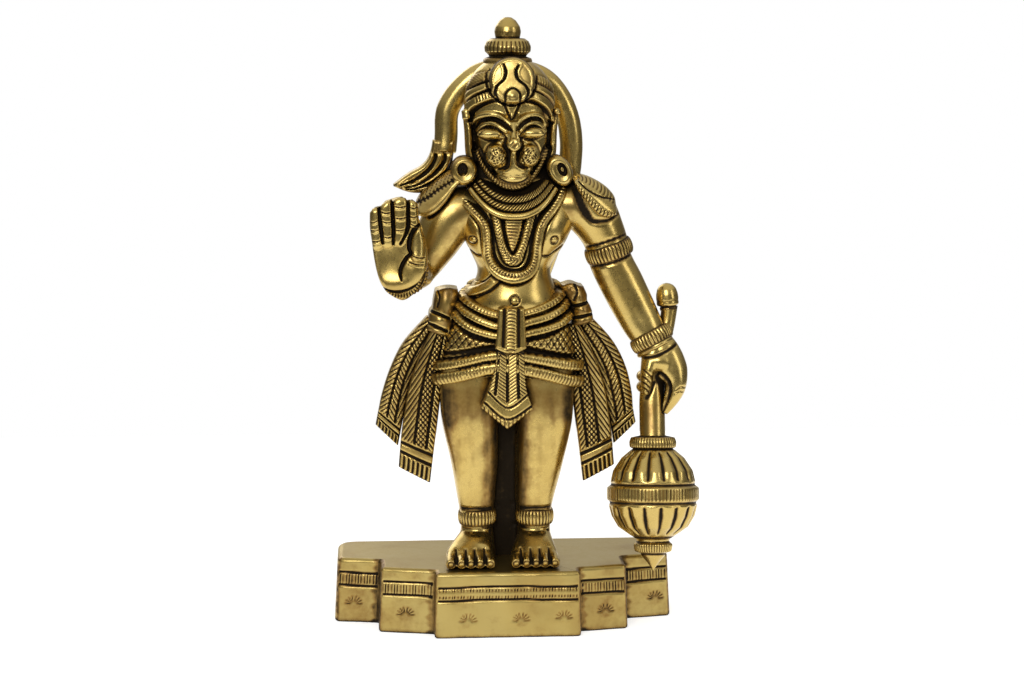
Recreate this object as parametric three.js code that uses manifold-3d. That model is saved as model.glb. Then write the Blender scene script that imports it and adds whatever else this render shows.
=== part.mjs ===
// A standing figure of Hanuman, cast in brass: one hand raised with the palm out, the other holding a mace,
// the tail arched over the head. The figure is one casting, and it stands on a stepped plinth.
// Millimetres, Z up, facing -Y. The origin is on the plinth's underside, in the middle of its centre block
// and of its depth.

import * as THREE from 'three';
import { mergeVertices } from 'three/addons/utils/BufferGeometryUtils.js';
import Module from 'manifold-3d';

const wasm = await Module();
wasm.setup();

// Overall sizes
const FIGURE_HEIGHT = 148;
const PLINTH_HEIGHT = 18;
const PLINTH_DEPTH = 40;

// The plinth's front is five blocks, set back in steps, and the outer ones are turned a little outwards.
// It is cut by hand, so the blocks on the figure's left and right differ in width.
const CENTRE_BLOCK_WIDTH = 38.6;
const LEFT_SIDE_BLOCK_WIDTH = 13.5;
const LEFT_END_BLOCK_WIDTH = 13.4;
const RIGHT_SIDE_BLOCK_WIDTH = 16.2;
const RIGHT_END_BLOCK_WIDTH = 12.2;
const SIDE_BLOCK_SETBACK = 4.6;
const END_BLOCK_SETBACK = 17;
const BLOCK_TURN_DEG = 11;
const PLINTH_DRAFT_DEG = 3;
const RIM_HEIGHT = 3.2;
const BAND_HEIGHT = 3.6;
const GROOVE_HEIGHT = 0.8;
const GROOVE_DEPTH = 0.6;
const CORNER_RADIUS = 3;

// The figure's own parts
const TAIL_DIAMETER = 6.2;
const MACE_HEAD_DIAMETER = 24;
const MACE_SHAFT_DIAMETER = 6.3;
const MACE_FLUTES = 12;
const MACE_FLUTE_DEPTH = 0.9;
const TOE_WIDTH = 2.9;
const BANGLE_THICKNESS = 1.1;
const NECKLACE_THICKNESS = 1.2;
const GARLAND_WIDTH = 2.6;
const STRAP_THICKNESS = 1.0;
const SASH_THICKNESS = 3.6;
const PLEAT_DEPTH = 0.9;
const EARRING_DIAMETER = 6.4;
const CREST_DIAMETER = 12.2;

// The pose and carving are drawn for a figure 148 mm high that stands at SOLE_LEVEL on the drawing, and then
// made at FIGURE_HEIGHT. A named size is turned into one on the drawing by drawn().
const SOLE_LEVEL = 1.5;
const SCALE = FIGURE_HEIGHT / 148;
const drawn = (size) => size / SCALE;

const BRASS = new THREE.MeshStandardMaterial({ color: 0xb8923a, roughness: 0.32, metalness: 1 });
const FRONT = new THREE.Vector3(0, -1, 0);
const UP = new THREE.Vector3(0, 0, 1);

const lerp = THREE.MathUtils.lerp;
const degrees = THREE.MathUtils.degToRad;

// Closed solids from three.js geometries. A mirrored piece comes out inside out, and is turned back here.

function toSolid(geometry) {
  const bare = geometry.clone();
  bare.deleteAttribute('normal');
  bare.deleteAttribute('uv');
  const welded = mergeVertices(bare, 1e-4);
  const spots = welded.attributes.position;
  const [a, b, c] = [new THREE.Vector3(), new THREE.Vector3(), new THREE.Vector3()];
  const corners = [];
  let volume = 0;
  for (let i = 0; i < welded.index.count; i += 3) {
    const [p, q, r] = [0, 1, 2].map((n) => welded.index.getX(i + n));
    if (p !== q && q !== r && p !== r) {
      corners.push([p, q, r]);
      a.fromBufferAttribute(spots, p);
      b.fromBufferAttribute(spots, q);
      c.fromBufferAttribute(spots, r);
      volume += a.dot(b.cross(c));
    }
  }
  const outwards = volume > 0 ? corners : corners.map(([p, q, r]) => [p, r, q]);
  return new wasm.Manifold(new wasm.Mesh({
    numProp: 3,
    vertProperties: new Float32Array(spots.array),
    triVerts: new Uint32Array(outwards.flat()),
  }));
}

function toGeometry(solid) {
  const mesh = solid.getMesh();
  const geometry = new THREE.BufferGeometry();
  geometry.setAttribute('position', new THREE.BufferAttribute(new Float32Array(mesh.vertProperties), 3));
  geometry.setIndex(new THREE.BufferAttribute(new Uint32Array(mesh.triVerts), 1));
  return geometry;
}

function join(solids) {
  return solids.reduce((whole, piece) => whole.add(piece));
}

// Moves each vertex of a geometry to where place(vertex) says.
function reshape(geometry, place) {
  const spots = geometry.attributes.position;
  const spot = new THREE.Vector3();
  for (let i = 0; i < spots.count; i += 1) {
    const moved = place(spot.fromBufferAttribute(spots, i));
    spots.setXYZ(i, moved.x, moved.y, moved.z);
  }
  return geometry;
}

const shaped = (value, power) => Math.sign(value) * Math.abs(value) ** power;

// A limb, cord or strap: rings along a smooth line through stations [x, y, z, half width, half depth], with
// the depth measured towards facing. Four sides give a flat strap, and a power under 1 makes a boxier ring.
// Each band [from, to, rise] is a raised ring round the limb, from and to being shares of its length.
function sweep(stations, { sides = 8, steps = 6, power = 1, facing = FRONT, bands = [] } = {}) {
  const curve = new THREE.CatmullRomCurve3(stations.map(([x, y, z]) => new THREE.Vector3(x, y, z)));
  const last = stations.length - 1;
  const sizeAt = (t, which) => {
    const i = Math.min(Math.floor(t * last), last - 1);
    return lerp(stations[i][which], stations[i + 1][which], t * last - i);
  };
  const plain = Array.from({ length: steps + 1 }, (_, i) => [i / steps, 0])
    .filter(([t]) => !bands.some(([from, to]) => t > from - 0.02 && t < to + 0.02));
  const raised = bands.flatMap(([from, to, rise]) => [
    [from, 0], [lerp(from, to, 0.2), rise], [lerp(from, to, 0.8), rise], [to, 0]]);
  const rings = [...plain, ...raised].sort((one, other) => one[0] - other[0]);
  const length = rings.length - 1;
  const [radius, start] = sides === 4 ? [Math.SQRT2, Math.PI / 4] : [1, 0];
  const tube = new THREE.CylinderGeometry(radius, radius, length, sides, length, false, start);
  return toSolid(reshape(tube, (v) => {
    const [t, rise] = rings[Math.round(length / 2 - v.y)];
    const along = curve.getTangent(t);
    const deep = facing.clone().addScaledVector(along, -facing.dot(along)).normalize();
    const wide = deep.clone().cross(along);
    return curve.getPoint(t)
      .addScaledVector(wide, shaped(v.x, power) * (sizeAt(t, 3) + rise))
      .addScaledVector(deep, shaped(v.z, power) * (sizeAt(t, 4) + rise));
  }));
}

// A cloth end or plate: place(u, v, front) gives each point, with u across, v down and front the near face.
function slab(across, down, place) {
  const sheet = new THREE.BoxGeometry(1, 1, 1, across, 1, down);
  return toSolid(reshape(sheet, (v) => place(v.x + 0.5, 0.5 - v.z, v.y < 0)));
}

function ball([x, y, z], [rx, ry, rz], wide = 8, high = 5) {
  const geometry = new THREE.SphereGeometry(1, wide, high).rotateX(Math.PI / 2);
  return toSolid(geometry.scale(rx, ry, rz).translate(x, y, z));
}

// A turned form: profile points [radius, height] about a line from the given point along an axis.
function turned(profile, [x, y, z], axis, segments, outline = (r) => r) {
  const points = profile.map(([r, h]) => new THREE.Vector2(r, h));
  const geometry = reshape(new THREE.LatheGeometry(points, segments), (v) => {
    const r = Math.hypot(v.x, v.z);
    const share = r > 0 ? outline(r, v.y, Math.atan2(v.x, v.z)) / r : 1;
    return new THREE.Vector3(v.x * share, v.y, v.z * share);
  });
  const lean = new THREE.Quaternion();
  lean.setFromUnitVectors(new THREE.Vector3(0, 1, 0), new THREE.Vector3(...axis).normalize());
  return toSolid(geometry.applyQuaternion(lean).translate(x, y, z));
}

// The body forms, as rings [height, centre x, centre y, half width, half depth]. Ornaments sit on them.

const TRUNK = [
  [66, 1.2, 0.5, 14, 9.5],
  [73, 1.8, 0, 12.8, 10.6],
  [80, 2.2, 0, 10.3, 9.0],
  [85, 2.4, 0, 11.4, 8.8],
  [90, 2.8, 0, 13.6, 9.2],
  [96, 3.0, 0, 16.2, 8.8],
  [101, 2.6, 0.2, 15.2, 7.4],
  [106, 2.0, 1.0, 12.8, 6.0],
  [113, 1.4, 2.0, 11.4, 4.6],
];

const HIPS = [
  [42, 0.5, 0, 18.0, 9.0],
  [48, 0.5, 0, 20.2, 10.8],
  [55, 0.6, 0, 20.2, 11.4],
  [62, 0.8, 0, 18.6, 11.6],
  [68, 1.2, 0, 16.8, 11.0],
  [73, 1.7, 0, 15.2, 9.6],
];

const CAP = { at: [0.9, 0.6, 127.0], half: [12.5, 11.2, 12.6] };
const FACE = { at: [1.4, -2.2, 117.2], half: [10.0, 9.8, 12.6] };

function frontOfForm(form, x, z) {
  const height = Math.min(Math.max(z, form[0][0]), form[form.length - 1][0]);
  const i = Math.max(form.findIndex((ring) => ring[0] >= height), 1);
  const share = (height - form[i - 1][0]) / (form[i][0] - form[i - 1][0]);
  const [, cx, cy, halfWidth, halfDepth] = form[i].map((value, n) => lerp(form[i - 1][n], value, share));
  const side = Math.min(Math.abs((x - cx) / halfWidth), 0.97);
  return cy - halfDepth * Math.sqrt(1 - side ** 2.2);
}

function frontOfBall({ at, half }, x, z) {
  const inside = 1 - ((x - at[0]) / half[0]) ** 2 - ((z - at[2]) / half[2]) ** 2;
  return at[1] - half[1] * Math.sqrt(Math.max(inside, 0.03));
}

const onTrunk = (x, z) => frontOfForm(TRUNK, x, z);
const onHips = (x, z) => frontOfForm(HIPS, x, z);
const onCap = (x, z) => frontOfBall(CAP, x, z);
const onFace = (x, z) => Math.min(onCap(x, z), frontOfBall(FACE, x, z));

function bodyForm(form, sides, steps, bands) {
  return sweep(form.map(([z, x, y, w, d]) => [x, y, z, w, d]), { sides, steps, power: 0.88, bands });
}

// A strap that lies on the body, through points [x, z] on the given front.
function strap(points, front, width, thickness, steps = points.length * 2 - 2) {
  return sweep(points.map(([x, z]) => [x, front(x, z), z, width / 2, thickness]), { sides: 4, steps });
}

// Head

function head() {
  const cap = ball(CAP.at, CAP.half, 12, 7);
  const face = ball(FACE.at, FACE.half, 12, 7);
  const muzzle = ball([1.6, -8.6, 109.6], [6.8, 4.8, 4.8], 8, 5);
  return join([cap, face, muzzle, ...[-1, 1].map(faceSide), nose(), finial(), capBands(), crest()]);
}

function faceSide(side) {
  const at = (x) => 1.2 + side * x;
  const brow = sweep([[1.9, 121.4, 0.3], [3.4, 123.1, 0.9], [6.2, 123.4, 0.9], [9.2, 120.2, 0.3]]
    .map(([x, z, half]) => [at(x), onFace(at(x), z), z, half, half]), { sides: 4, steps: 4 });
  const lid = ball([at(5.2), onFace(at(5.2), 118.8) + 0.6, 118.8], [2.9, 1.6, 1.4], 7, 4);
  const cheek = ball([at(4), -11.2, 113.2], [3.0, 3.0, 3.3], 8, 5);
  const ear = ball([at(10.9), 1.6, 115.4], [2.0, 3.2, 7.4], 6, 4);
  const r = drawn(EARRING_DIAMETER) / 2;
  const earring = turned([[0, 0], [r, 0.4], [r * 0.86, 4.4], [r * 0.45, 4.4], [0, 3.2]],
    [at(12.4), 0.6, 109.4], [side * 0.1, -1, 0.05], 8);
  return join([brow, lid, cheek, ear, earring]);
}

function nose() {
  const bridge = sweep([
    [1.4, -10.8, 120.6, 0.9, 1.0], [1.6, -12.2, 118.2, 1.4, 1.3], [1.7, -13.8, 116.2, 2.0, 1.4],
    [1.7, -13.6, 113.0, 0.9, 1.4], [1.8, -13.2, 109.8, 1.6, 1.2]], { sides: 5, steps: 4 });
  const curved = (x) => -12.6 + 0.14 * (x - 1.9) ** 2;
  const lip = strap([[-2.0, 109.2], [1.9, 107.6], [5.8, 109.4]], curved, 1.1, 0.8, 2);
  return bridge.add(lip);
}

// A flange, a ribbed ring and a bud top the cap.
function finial() {
  return turned([
    [0, 0], [6.6, 0.2], [6.6, 1.0], [4.8, 1.6], [6.1, 2.8], [6.1, 4.4], [4.7, 5.9], [2.3, 6.2], [2.9, 8.2],
    [2.4, 10.6], [0, 12.1]], [0.2, 1.4, 137.4], UP.toArray(), 10);
}

// Ridges across a piece: 1 on the crest of each of the given number of ridges, and 0 between them.
const ridge = (share, count) => Math.round(share * count * 2) % 2;

// Three bands cross each side of the cap, from the crest down to the ear.
function capBands() {
  const [upper, lower] = [
    [[5.0, 136.4], [10.6, 132.6], [13.0, 126.8]],
    [[3.0, 125.2], [6.8, 123.6], [9.6, 118.8]],
  ].map((row) => new THREE.CatmullRomCurve3(row.map(([x, z]) => new THREE.Vector3(x, 0, z))));
  return join([-1, 1].map((side) => slab(3, 6, (u, v, front) => {
    const spot = upper.getPoint(u).lerp(lower.getPoint(u), v);
    const x = 1.1 + side * spot.x;
    const surface = onCap(THREE.MathUtils.clamp(x, -11, 13), spot.z);
    return new THREE.Vector3(x, surface + (front ? -0.1 - 1.1 * ridge(v, 3) : 2.6), spot.z);
  })));
}

// The crest: a disc with a trident-like mark over a leaf-shaped drop.
function crest() {
  const r = drawn(CREST_DIAMETER) / 2;
  const [x, y, z] = [1.4, -9.6, 132.8];
  const disc = turned([[0, 0], [r, 0], [r, 1.6], [r * 0.84, 2.6], [0, 3.1]], [x, y, z], [0.03, -1, 0.1], 12);
  const mark = [-1, 1].map((side) => sweep([
    [x + side * 1.3, y - 3.1, z + r * 0.7, 0.5, 0.8],
    [x + side * 1.5, y - 3.2, z + r * 0.2, 0.5, 0.8],
    [x + side * 3.6, y - 2.6, z - r * 0.3, 0.5, 0.8],
    [x + side * 2.2, y - 2.5, z - r * 0.8, 0.5, 0.8]], { sides: 4, steps: 3 }));
  const drop = ball([x, onFace(x, 125.2), 125.2], [1.3, 1.0, 2.2], 6, 3);
  return join([disc, ...mark, drop]);
}

// Tail: up the back, out behind the shoulder, over the head, and down to the tuft.
function tail() {
  const r = drawn(TAIL_DIAMETER) / 2;
  const line = [
    [3, 9, 58], [8, 9.4, 74], [13.6, 9, 90], [17.4, 8.4, 104], [18.2, 7.6, 114], [17.7, 7, 123],
    [13.6, 6.2, 130.6], [6.4, 5.8, 135], [-2.4, 5.8, 135], [-9.4, 6, 131.6], [-14.2, 6.2, 126],
    [-16.2, 6.2, 119], [-16.6, 5.8, 112.8]];
  const tube = sweep(line.map((point) => [...point, r, r]), { sides: 7, steps: 14 });
  const [inner, outer] = [
    [[-14.0, 115.4], [-15.2, 109], [-18, 104.6], [-22, 102.2]],
    [[-19.4, 115.4], [-21.4, 111], [-25.6, 106.6], [-31.4, 103.4]],
  ].map((edge) => new THREE.CatmullRomCurve3(edge.map(([x, z]) => new THREE.Vector3(x, 5.4, z))));
  const tuft = slab(6, 2, (u, v, front) => {
    const spot = inner.getPoint(v).lerp(outer.getPoint(v), u);
    const thick = lerp(5, 2.4, v);
    spot.y += front ? -thick / 2 - 0.9 * ridge(u, 3) : thick / 2;
    return spot;
  });
  return tube.add(tuft);
}

// Neck and chest ornaments

// Rows of beads lie one under another from ear to ear, and each hangs in a U across the chest.
function necklaces() {
  const rows = 4;
  return slab(8, rows * 2, (u, v, front) => {
    const share = 2 * u - 1;
    const low = lerp(105.6, 97.0, v);
    const high = lerp(111, 103.8, v);
    const chest = lerp(-10.2, -11.4, v) + lerp(9.6, 10.4, v) * Math.abs(share) ** 3.4;
    return new THREE.Vector3(
      1.9 + share * lerp(9.6, 14.6, v),
      front ? chest - drawn(NECKLACE_THICKNESS) * (ridge(v, rows) - 0.5) : chest + 4.4,
      lerp(low, high, Math.abs(share) ** 2.4),
    );
  });
}

function garland() {
  const chest = (x, z) => onTrunk(x, z) - 1.3;
  const outer = [
    [-13.2, 104.6], [-10.2, 99.8], [-6.6, 96], [-4.9, 89.8], [-2.8, 83.6], [2.0, 80.4], [6.8, 83.6],
    [8.9, 89.8], [10.9, 96], [14.2, 100.4], [15.8, 105]];
  const inner = [[-2.6, 96.4], [-1.5, 89.8], [1.0, 85.4], [3.0, 85.4], [5.3, 89.8], [6.6, 96.4]];
  const loops = [[outer, drawn(GARLAND_WIDTH), 1.8], [inner, 2.2, 1.4]].map(([path, width, thickness]) => (
    strap(path, chest, width, thickness, path.length)));
  const thread = strap([[-1.2, 80.6], [-5.4, 77], [-11.4, 73.6]], chest, 2.8, 1.6, 3);
  return join([...loops, thread]);
}

// Arms. A leaf-shaped plate, pointed at its outer end, lies on each shoulder: its spine runs between two
// points [x, z], and it curves back from its spine over the ball of the shoulder.
function shoulderPlate([x0, z0], [x1, z1], width, front) {
  const along = new THREE.Vector2(x1 - x0, z1 - z0);
  const across = new THREE.Vector2(-along.y, along.x).normalize();
  const halfWidths = [0.55, 1, 0.95, 0.62, 0.1];
  return slab(2, 4, (u, v, near) => {
    const side = (2 * u - 1) * halfWidths[Math.round(v * 4)];
    const spine = Math.abs(side) < 0.01 ? 0.5 : 0;
    const back = 5.4 * side ** 2 + 1.2 * (2 * v - 1) ** 2;
    return new THREE.Vector3(
      x0 + along.x * v + across.x * side * width / 2,
      near ? front - spine + back : 1.2,
      z0 + along.y * v + across.y * side * width / 2,
    );
  });
}

function leftArm() {
  const rise = drawn(BANGLE_THICKNESS);
  const arm = sweep([
    [15, 0.4, 99, 6, 6.4], [22, 0.6, 98.4, 7.4, 6.8], [26.4, 1, 90.6, 5.8, 6.0], [28.4, 1.2, 83.6, 5.5, 5.5],
    [31.2, 0.6, 77, 5.5, 5.3], [35.2, -0.4, 69.6, 4.9, 4.9], [39.8, -2.2, 61.8, 4.2, 4.2],
    [43.2, -3.4, 56.6, 4.6, 3.8], [45.4, -4.8, 51.6, 3.6, 3.2], [44.2, -5.8, 47.2, 2.3, 2.4],
    [42.2, -6.4, 44.2, 1.2, 1.4]],
  { sides: 8, steps: 12, bands: [[0.24, 0.29, rise], [0.577, 0.63, rise]] });
  const plate = shoulderPlate([17.6, 104.8], [30.2, 97.0], 10.6, -7.4);
  return join([arm, plate, grip()]);
}

// The fingers bend round the mace's shaft, one under another.
function grip() {
  const heel = ball([40.8, -2.0, 54.2], [3.7, 4.0, 6.4], 7, 4);
  const fingers = slab(2, 8, (u, v, front) => {
    const knuckle = ridge(v, 4);
    const reach = [[41.2, 1.4], [36.6, -2.0], [38.4, -7.0]][Math.round(u * 2)];
    const inside = [[42, 0], [40, -2], [40.4, -5.4]][Math.round(u * 2)];
    const [x, y] = front ? inside : reach;
    return new THREE.Vector3(x - (front ? 0 : 0.9 * knuckle), y, 58 - v * 10.4 - u * 0.8);
  });
  return heel.add(fingers);
}

function rightArm() {
  const upper = sweep([
    [-8, 0, 98.6, 6, 6.2], [-14, 0.2, 96.6, 7.4, 6.4], [-18.8, 0.6, 88.8, 6.8, 6.4],
    [-23.4, 0.6, 80.6, 5.6, 5.8], [-25.2, 0.6, 78, 3.8, 4]], { sides: 8, steps: 5 });
  const fore = sweep([[-24, 1.4, 81, 5.0, 5.0], [-26, -5, 81.4, 5.2, 5.0], [-27.8, -14.4, 82.6, 4.4, 4.2]],
    { sides: 8, steps: 2, facing: UP, bands: [[0.68, 0.88, drawn(BANGLE_THICKNESS)]] });
  const plate = shoulderPlate([-12.4, 103.4], [-22.4, 95.6], 8.6, -7.0);
  return join([upper, fore, plate, openHand()]);
}

// The raised hand faces the viewer. Its four fingers are close together, and the thumb lies on the palm.
function openHand() {
  const tips = [98.8, 101.0, 101.9, 100.4];
  const rows = [0, 0.06, 0.42, 0.6, 0.84, 1];
  const hand = slab(12, rows.length - 1, (u, v, front) => {
    const row = rows[Math.round(v * (rows.length - 1))];
    const column = Math.round(u * 12);
    const gap = column % 3 === 0 && row < 0.5;
    const left = tips[Math.max(Math.ceil(column / 3) - 1, 0)];
    const right = tips[Math.min(Math.floor(column / 3), 3)];
    const heel = Math.max(1 - (Math.max(row - 0.55, 0) / 0.5) ** 2.6, 0);
    const half = lerp(6.5, 7.4, Math.min(row / 0.6, 1)) * Math.sqrt(heel);
    const bulge = row < 0.5 ? 0.7 : 0.8 * Math.sin(Math.PI * u) + row * 0.8 - 0.2;
    return new THREE.Vector3(
      -29.8 + Math.min(row, 0.6) * 2 + (u - 0.5) * 2 * half,
      front ? -17.2 - (gap ? -1.2 : bulge * (row > 0 ? 1 : -0.6)) : -13.6 - (row > 0 ? 0 : 1),
      lerp(Math.min(left, right) - (gap ? 1.2 : 0), 76.2, row),
    );
  });
  const thumb = sweep([
    [-26.6, -17.0, 79.8, 1.8, 1.6], [-24.6, -18.2, 83.6, 2.9, 2.2], [-22.9, -18.2, 88.4, 2.2, 1.9],
    [-22.6, -17.6, 93.6, 1.4, 1.4]], { sides: 6, steps: 4 });
  return hand.add(thumb);
}

// Mace: fluted above and below its middle ring, hanging from the hand and leaning forward at the foot.
function mace() {
  const r = drawn(MACE_HEAD_DIAMETER) / 2;
  const s = drawn(MACE_SHAFT_DIAMETER) / 2;
  const profile = [
    [0, 0], [0.44, 4.2], [0.44, 7.4], [0.36, 8.4], [0.72, 11.2], [0.91, 14.8], [0.95, 17.6], [1.03, 18.4],
    [1.03, 22.2], [0.95, 23], [0.9, 26.6], [0.7, 30.4], [0.48, 32.6], [0.48, 35.6], [0, 36.2]];
  const fluted = (radius, height, turn) => {
    const [bottom, depth] = height < 20 ? [8.4, 9.6] : [22.6, 9];
    const bowl = Math.max(Math.sin(Math.PI * (height - bottom) / depth), 0);
    return radius - drawn(MACE_FLUTE_DEPTH) * bowl * (0.5 - 0.5 * Math.cos(turn * MACE_FLUTES));
  };
  const bowls = profile.map(([share, height]) => [share * r, height]);
  const maceHead = turned(bowls, [40, -12.2, 0.4], [0.01, 0.17, 1], MACE_FLUTES * 2, fluted);
  const shaft = sweep([
    [39.6, -6.6, 34, s, s], [39.8, -4.4, 45, s, s], [41.4, -1.6, 58, s * 0.86, s * 0.86],
    [43.2, 1.2, 71.6, s * 0.7, s * 0.7]], { sides: 7, steps: 4 });
  const knob = turned([
    [0, 0], [s * 0.9, 0.4], [s * 0.9, 1.6], [s * 1.1, 2.6], [s * 1.1, 4.6], [s * 0.6, 6.4], [0, 6.8]],
  [43.2, 1.1, 70.6], [0, 0.06, 1], 8);
  return join([maceHead, shaft, knob]);
}

// Waist cloth: belts looped across the hips, a pleated flap in two tiers, and the hems over the thighs.

function waistCloth() {
  const middle = 1.8;
  const curve = (edge) => new THREE.CatmullRomCurve3(edge.map(([x, z]) => new THREE.Vector3(x, 0, z)));
  const drape = (rows, edges) => [-1, 1].map((side) => {
    const [upper, lower] = edges.map(curve);
    return slab(3, rows * 2, (u, v, front) => {
      const spot = upper.getPoint(u).lerp(lower.getPoint(u), v);
      const x = middle + side * spot.x;
      const near = -0.1 - drawn(STRAP_THICKNESS) * ridge(v, rows);
      return new THREE.Vector3(x, onHips(x, spot.z) + (front ? near : 2.6), spot.z);
    });
  });
  const belts = drape(3, [[[3.2, 71.8], [8.6, 72.6], [14, 76.8]], [[3.2, 63.4], [9.4, 64.6], [16.4, 68.4]]]);
  const hems = drape(2, [[[4, 61.4], [12, 60.2], [19.6, 58.0]], [[4, 54.2], [12, 52.2], [20.0, 49.0]]]);
  return join([bodyForm(HIPS, 12, 5), ...belts, ...hems]);
}

// The flap's two tiers, as rows [height, half width], with the lower one ending in a point.
function flap() {
  const tiers = [
    { rows: [[71.6, 3.7], [60.2, 4.1]], front: -13.0, point: 0.5 },
    { rows: [[60.4, 3.7], [49.2, 5.1], [44.6, 7.1]], front: -13.0, point: 5.6 },
  ];
  return join(tiers.map(({ rows, front, point }) => slab(8, rows.length - 1, (u, v, near) => {
    const row = Math.round(v * (rows.length - 1));
    const [height, half] = rows[row];
    const drop = row === rows.length - 1 ? point * (1 - Math.abs(2 * u - 1)) : 0;
    const pleat = drawn(PLEAT_DEPTH) * ridge(u, 4);
    const middle = lerp(1.8, 0.4, (71.6 - height) / 27);
    return new THREE.Vector3(
      middle + (u - 0.5) * 2 * half,
      near ? front - v * 0.8 + pleat : -7,
      height - drop,
    );
  })));
}

// The sash is knotted at each hip, and its two ends fall beside the legs, pleated and fringed.
function sash(side) {
  const shift = side > 0 ? 0.3 : 0;
  const knotStations = side > 0
    ? [[18.0, 0.4, 77.6, 2.6, 2.6], [18.8, 0.4, 74.4, 3.2, 3.8], [20.2, 0.4, 67.6, 2.5, 3.2]]
    : [[-15.6, 0.4, 75.8, 3.0, 2.6], [-16.6, 0.4, 72.8, 3.6, 3.8], [-18.8, 0.4, 66.4, 2.4, 3.2]];
  const knot = sweep(knotStations, { sides: 6, steps: 2, bands: [[0.56, 0.86, 0.7]] });
  const ends = [
    {
      y: 1.6,
      inner: [[16.6, 68], [21.6, 58], [26.4, 46], [29.6, 32.4]],
      outer: [[20.6, 69], [28.2, 60], [33, 51], [35.6, 39.4]],
    },
    {
      y: -0.6,
      inner: [[15.6, 66], [17.6, 54], [19.6, 39], [21.0, 22.8]],
      outer: [[19.4, 66], [24.6, 54], [27.6, 41], [29.0, 27.2]],
    },
  ];
  const panels = ends.map(({ y, ...edges }) => {
    const [inner, outer] = [edges.inner, edges.outer].map((edge) => (
      new THREE.CatmullRomCurve3(edge.map(([x, z]) => new THREE.Vector3(shift + side * x, y, z)))));
    return slab(6, 4, (u, v, front) => {
      const spot = inner.getPoint(v).lerp(outer.getPoint(v), u);
      const half = drawn(SASH_THICKNESS) / 2;
      spot.y += front ? drawn(PLEAT_DEPTH) * ridge(u, 3) - half : half;
      return spot;
    });
  });
  return join([knot, ...panels]);
}

// Legs and feet

function leg(side) {
  const [knee, ankle] = side > 0 ? [10.4, 7.7] : [-10.0, -8.2];
  const shank = sweep([
    [side * 9.8, 0, 56, 8.6, 9], [knee + side * 0.1, -0.4, 42, 7.8, 8.6],
    [knee - side * 0.8, -0.8, 28, 6.7, 7.4], [ankle, -1.2, 15, 5.2, 5.6], [ankle, -1.2, 9, 4.5, 4.9],
    [ankle, -2, 3.5, 5, 6]],
  { sides: 10, steps: 5, power: 0.82, bands: [[0.655, 0.765, drawn(BANGLE_THICKNESS)]] });
  return shank.add(foot(side, ankle));
}

// A foot, with v from the toes back to the heel: each toe is a ridge that runs back over the arch.
function foot(side, ankle) {
  const toes = side > 0 ? 7.7 : -9.4;
  const rows = [
    [-17.2, 0.8, 0.5], [-16.4, 0.95, 1.9], [-13.0, 0.95, 3.0], [-5.8, 0.84, 5.8], [4.4, 0.62, 5.0]];
  return slab(10, rows.length - 1, (u, v, front) => {
    const i = Math.round(v * (rows.length - 1));
    const [y, narrow, top] = rows[i];
    const share = 2 * u - 1;
    const toe = i < 3 ? 1 - ridge(u, 5) : 0;
    return new THREE.Vector3(
      lerp(toes, ankle, v) + share * drawn(TOE_WIDTH) * 2.5 * narrow,
      y + toe * (i < 1 ? 1.5 : 0) + (i < 2 ? 1.2 * share ** 2 : 0),
      front ? SOLE_LEVEL + Math.max(top * (1 - 0.35 * share ** 2) - toe * 0.9, 0.3) : -1,
    );
  });
}

// The casting keeps a web between the legs, set back from their fronts.
const web = () => slab(1, 1, (u, v, front) => (
  new THREE.Vector3(-4.8 + u * 9.4, front ? 0.4 : 3.8, 50 - v * 51)));

function figure() {
  const whole = join([
    bodyForm(TRUNK, 12, 6), head(), tail(), necklaces(), garland(), leftArm(), rightArm(), mace(),
    waistCloth(), flap(), ...[-1, 1].map(sash), ...[-1, 1].map(leg), web()]);
  const ground = toSolid(new THREE.BoxGeometry(150, 150, 20).translate(0, 0, SOLE_LEVEL - 10));
  const geometry = toGeometry(whole.subtract(ground));
  const mesh = new THREE.Mesh(geometry.scale(SCALE, SCALE, SCALE), BRASS);
  mesh.name = 'hanuman_figure';
  mesh.position.z = PLINTH_HEIGHT - SOLE_LEVEL * SCALE;
  return mesh;
}

// Plinth

// One half of the front at the underside, each block as [inner x, outer x, inner y, outer y]. The side is 1
// on the figure's left and -1 on its right, where the blocks are mirrored.
function plinthBlocks(side) {
  const front = -PLINTH_DEPTH / 2;
  const inner = CENTRE_BLOCK_WIDTH / 2;
  const widths = side > 0
    ? [LEFT_SIDE_BLOCK_WIDTH, LEFT_END_BLOCK_WIDTH]
    : [RIGHT_SIDE_BLOCK_WIDTH, RIGHT_END_BLOCK_WIDTH];
  const slope = Math.tan(degrees(BLOCK_TURN_DEG));
  const fronts = [front + SIDE_BLOCK_SETBACK, front + END_BLOCK_SETBACK];
  const middle = inner + widths[0];
  const outer = middle + widths[1];
  return [
    [0, inner, front, front],
    [inner, middle, fronts[0], fronts[0] + widths[0] * slope],
    [middle, outer, fronts[1], fronts[1] + widths[1] * slope],
  ];
}

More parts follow.
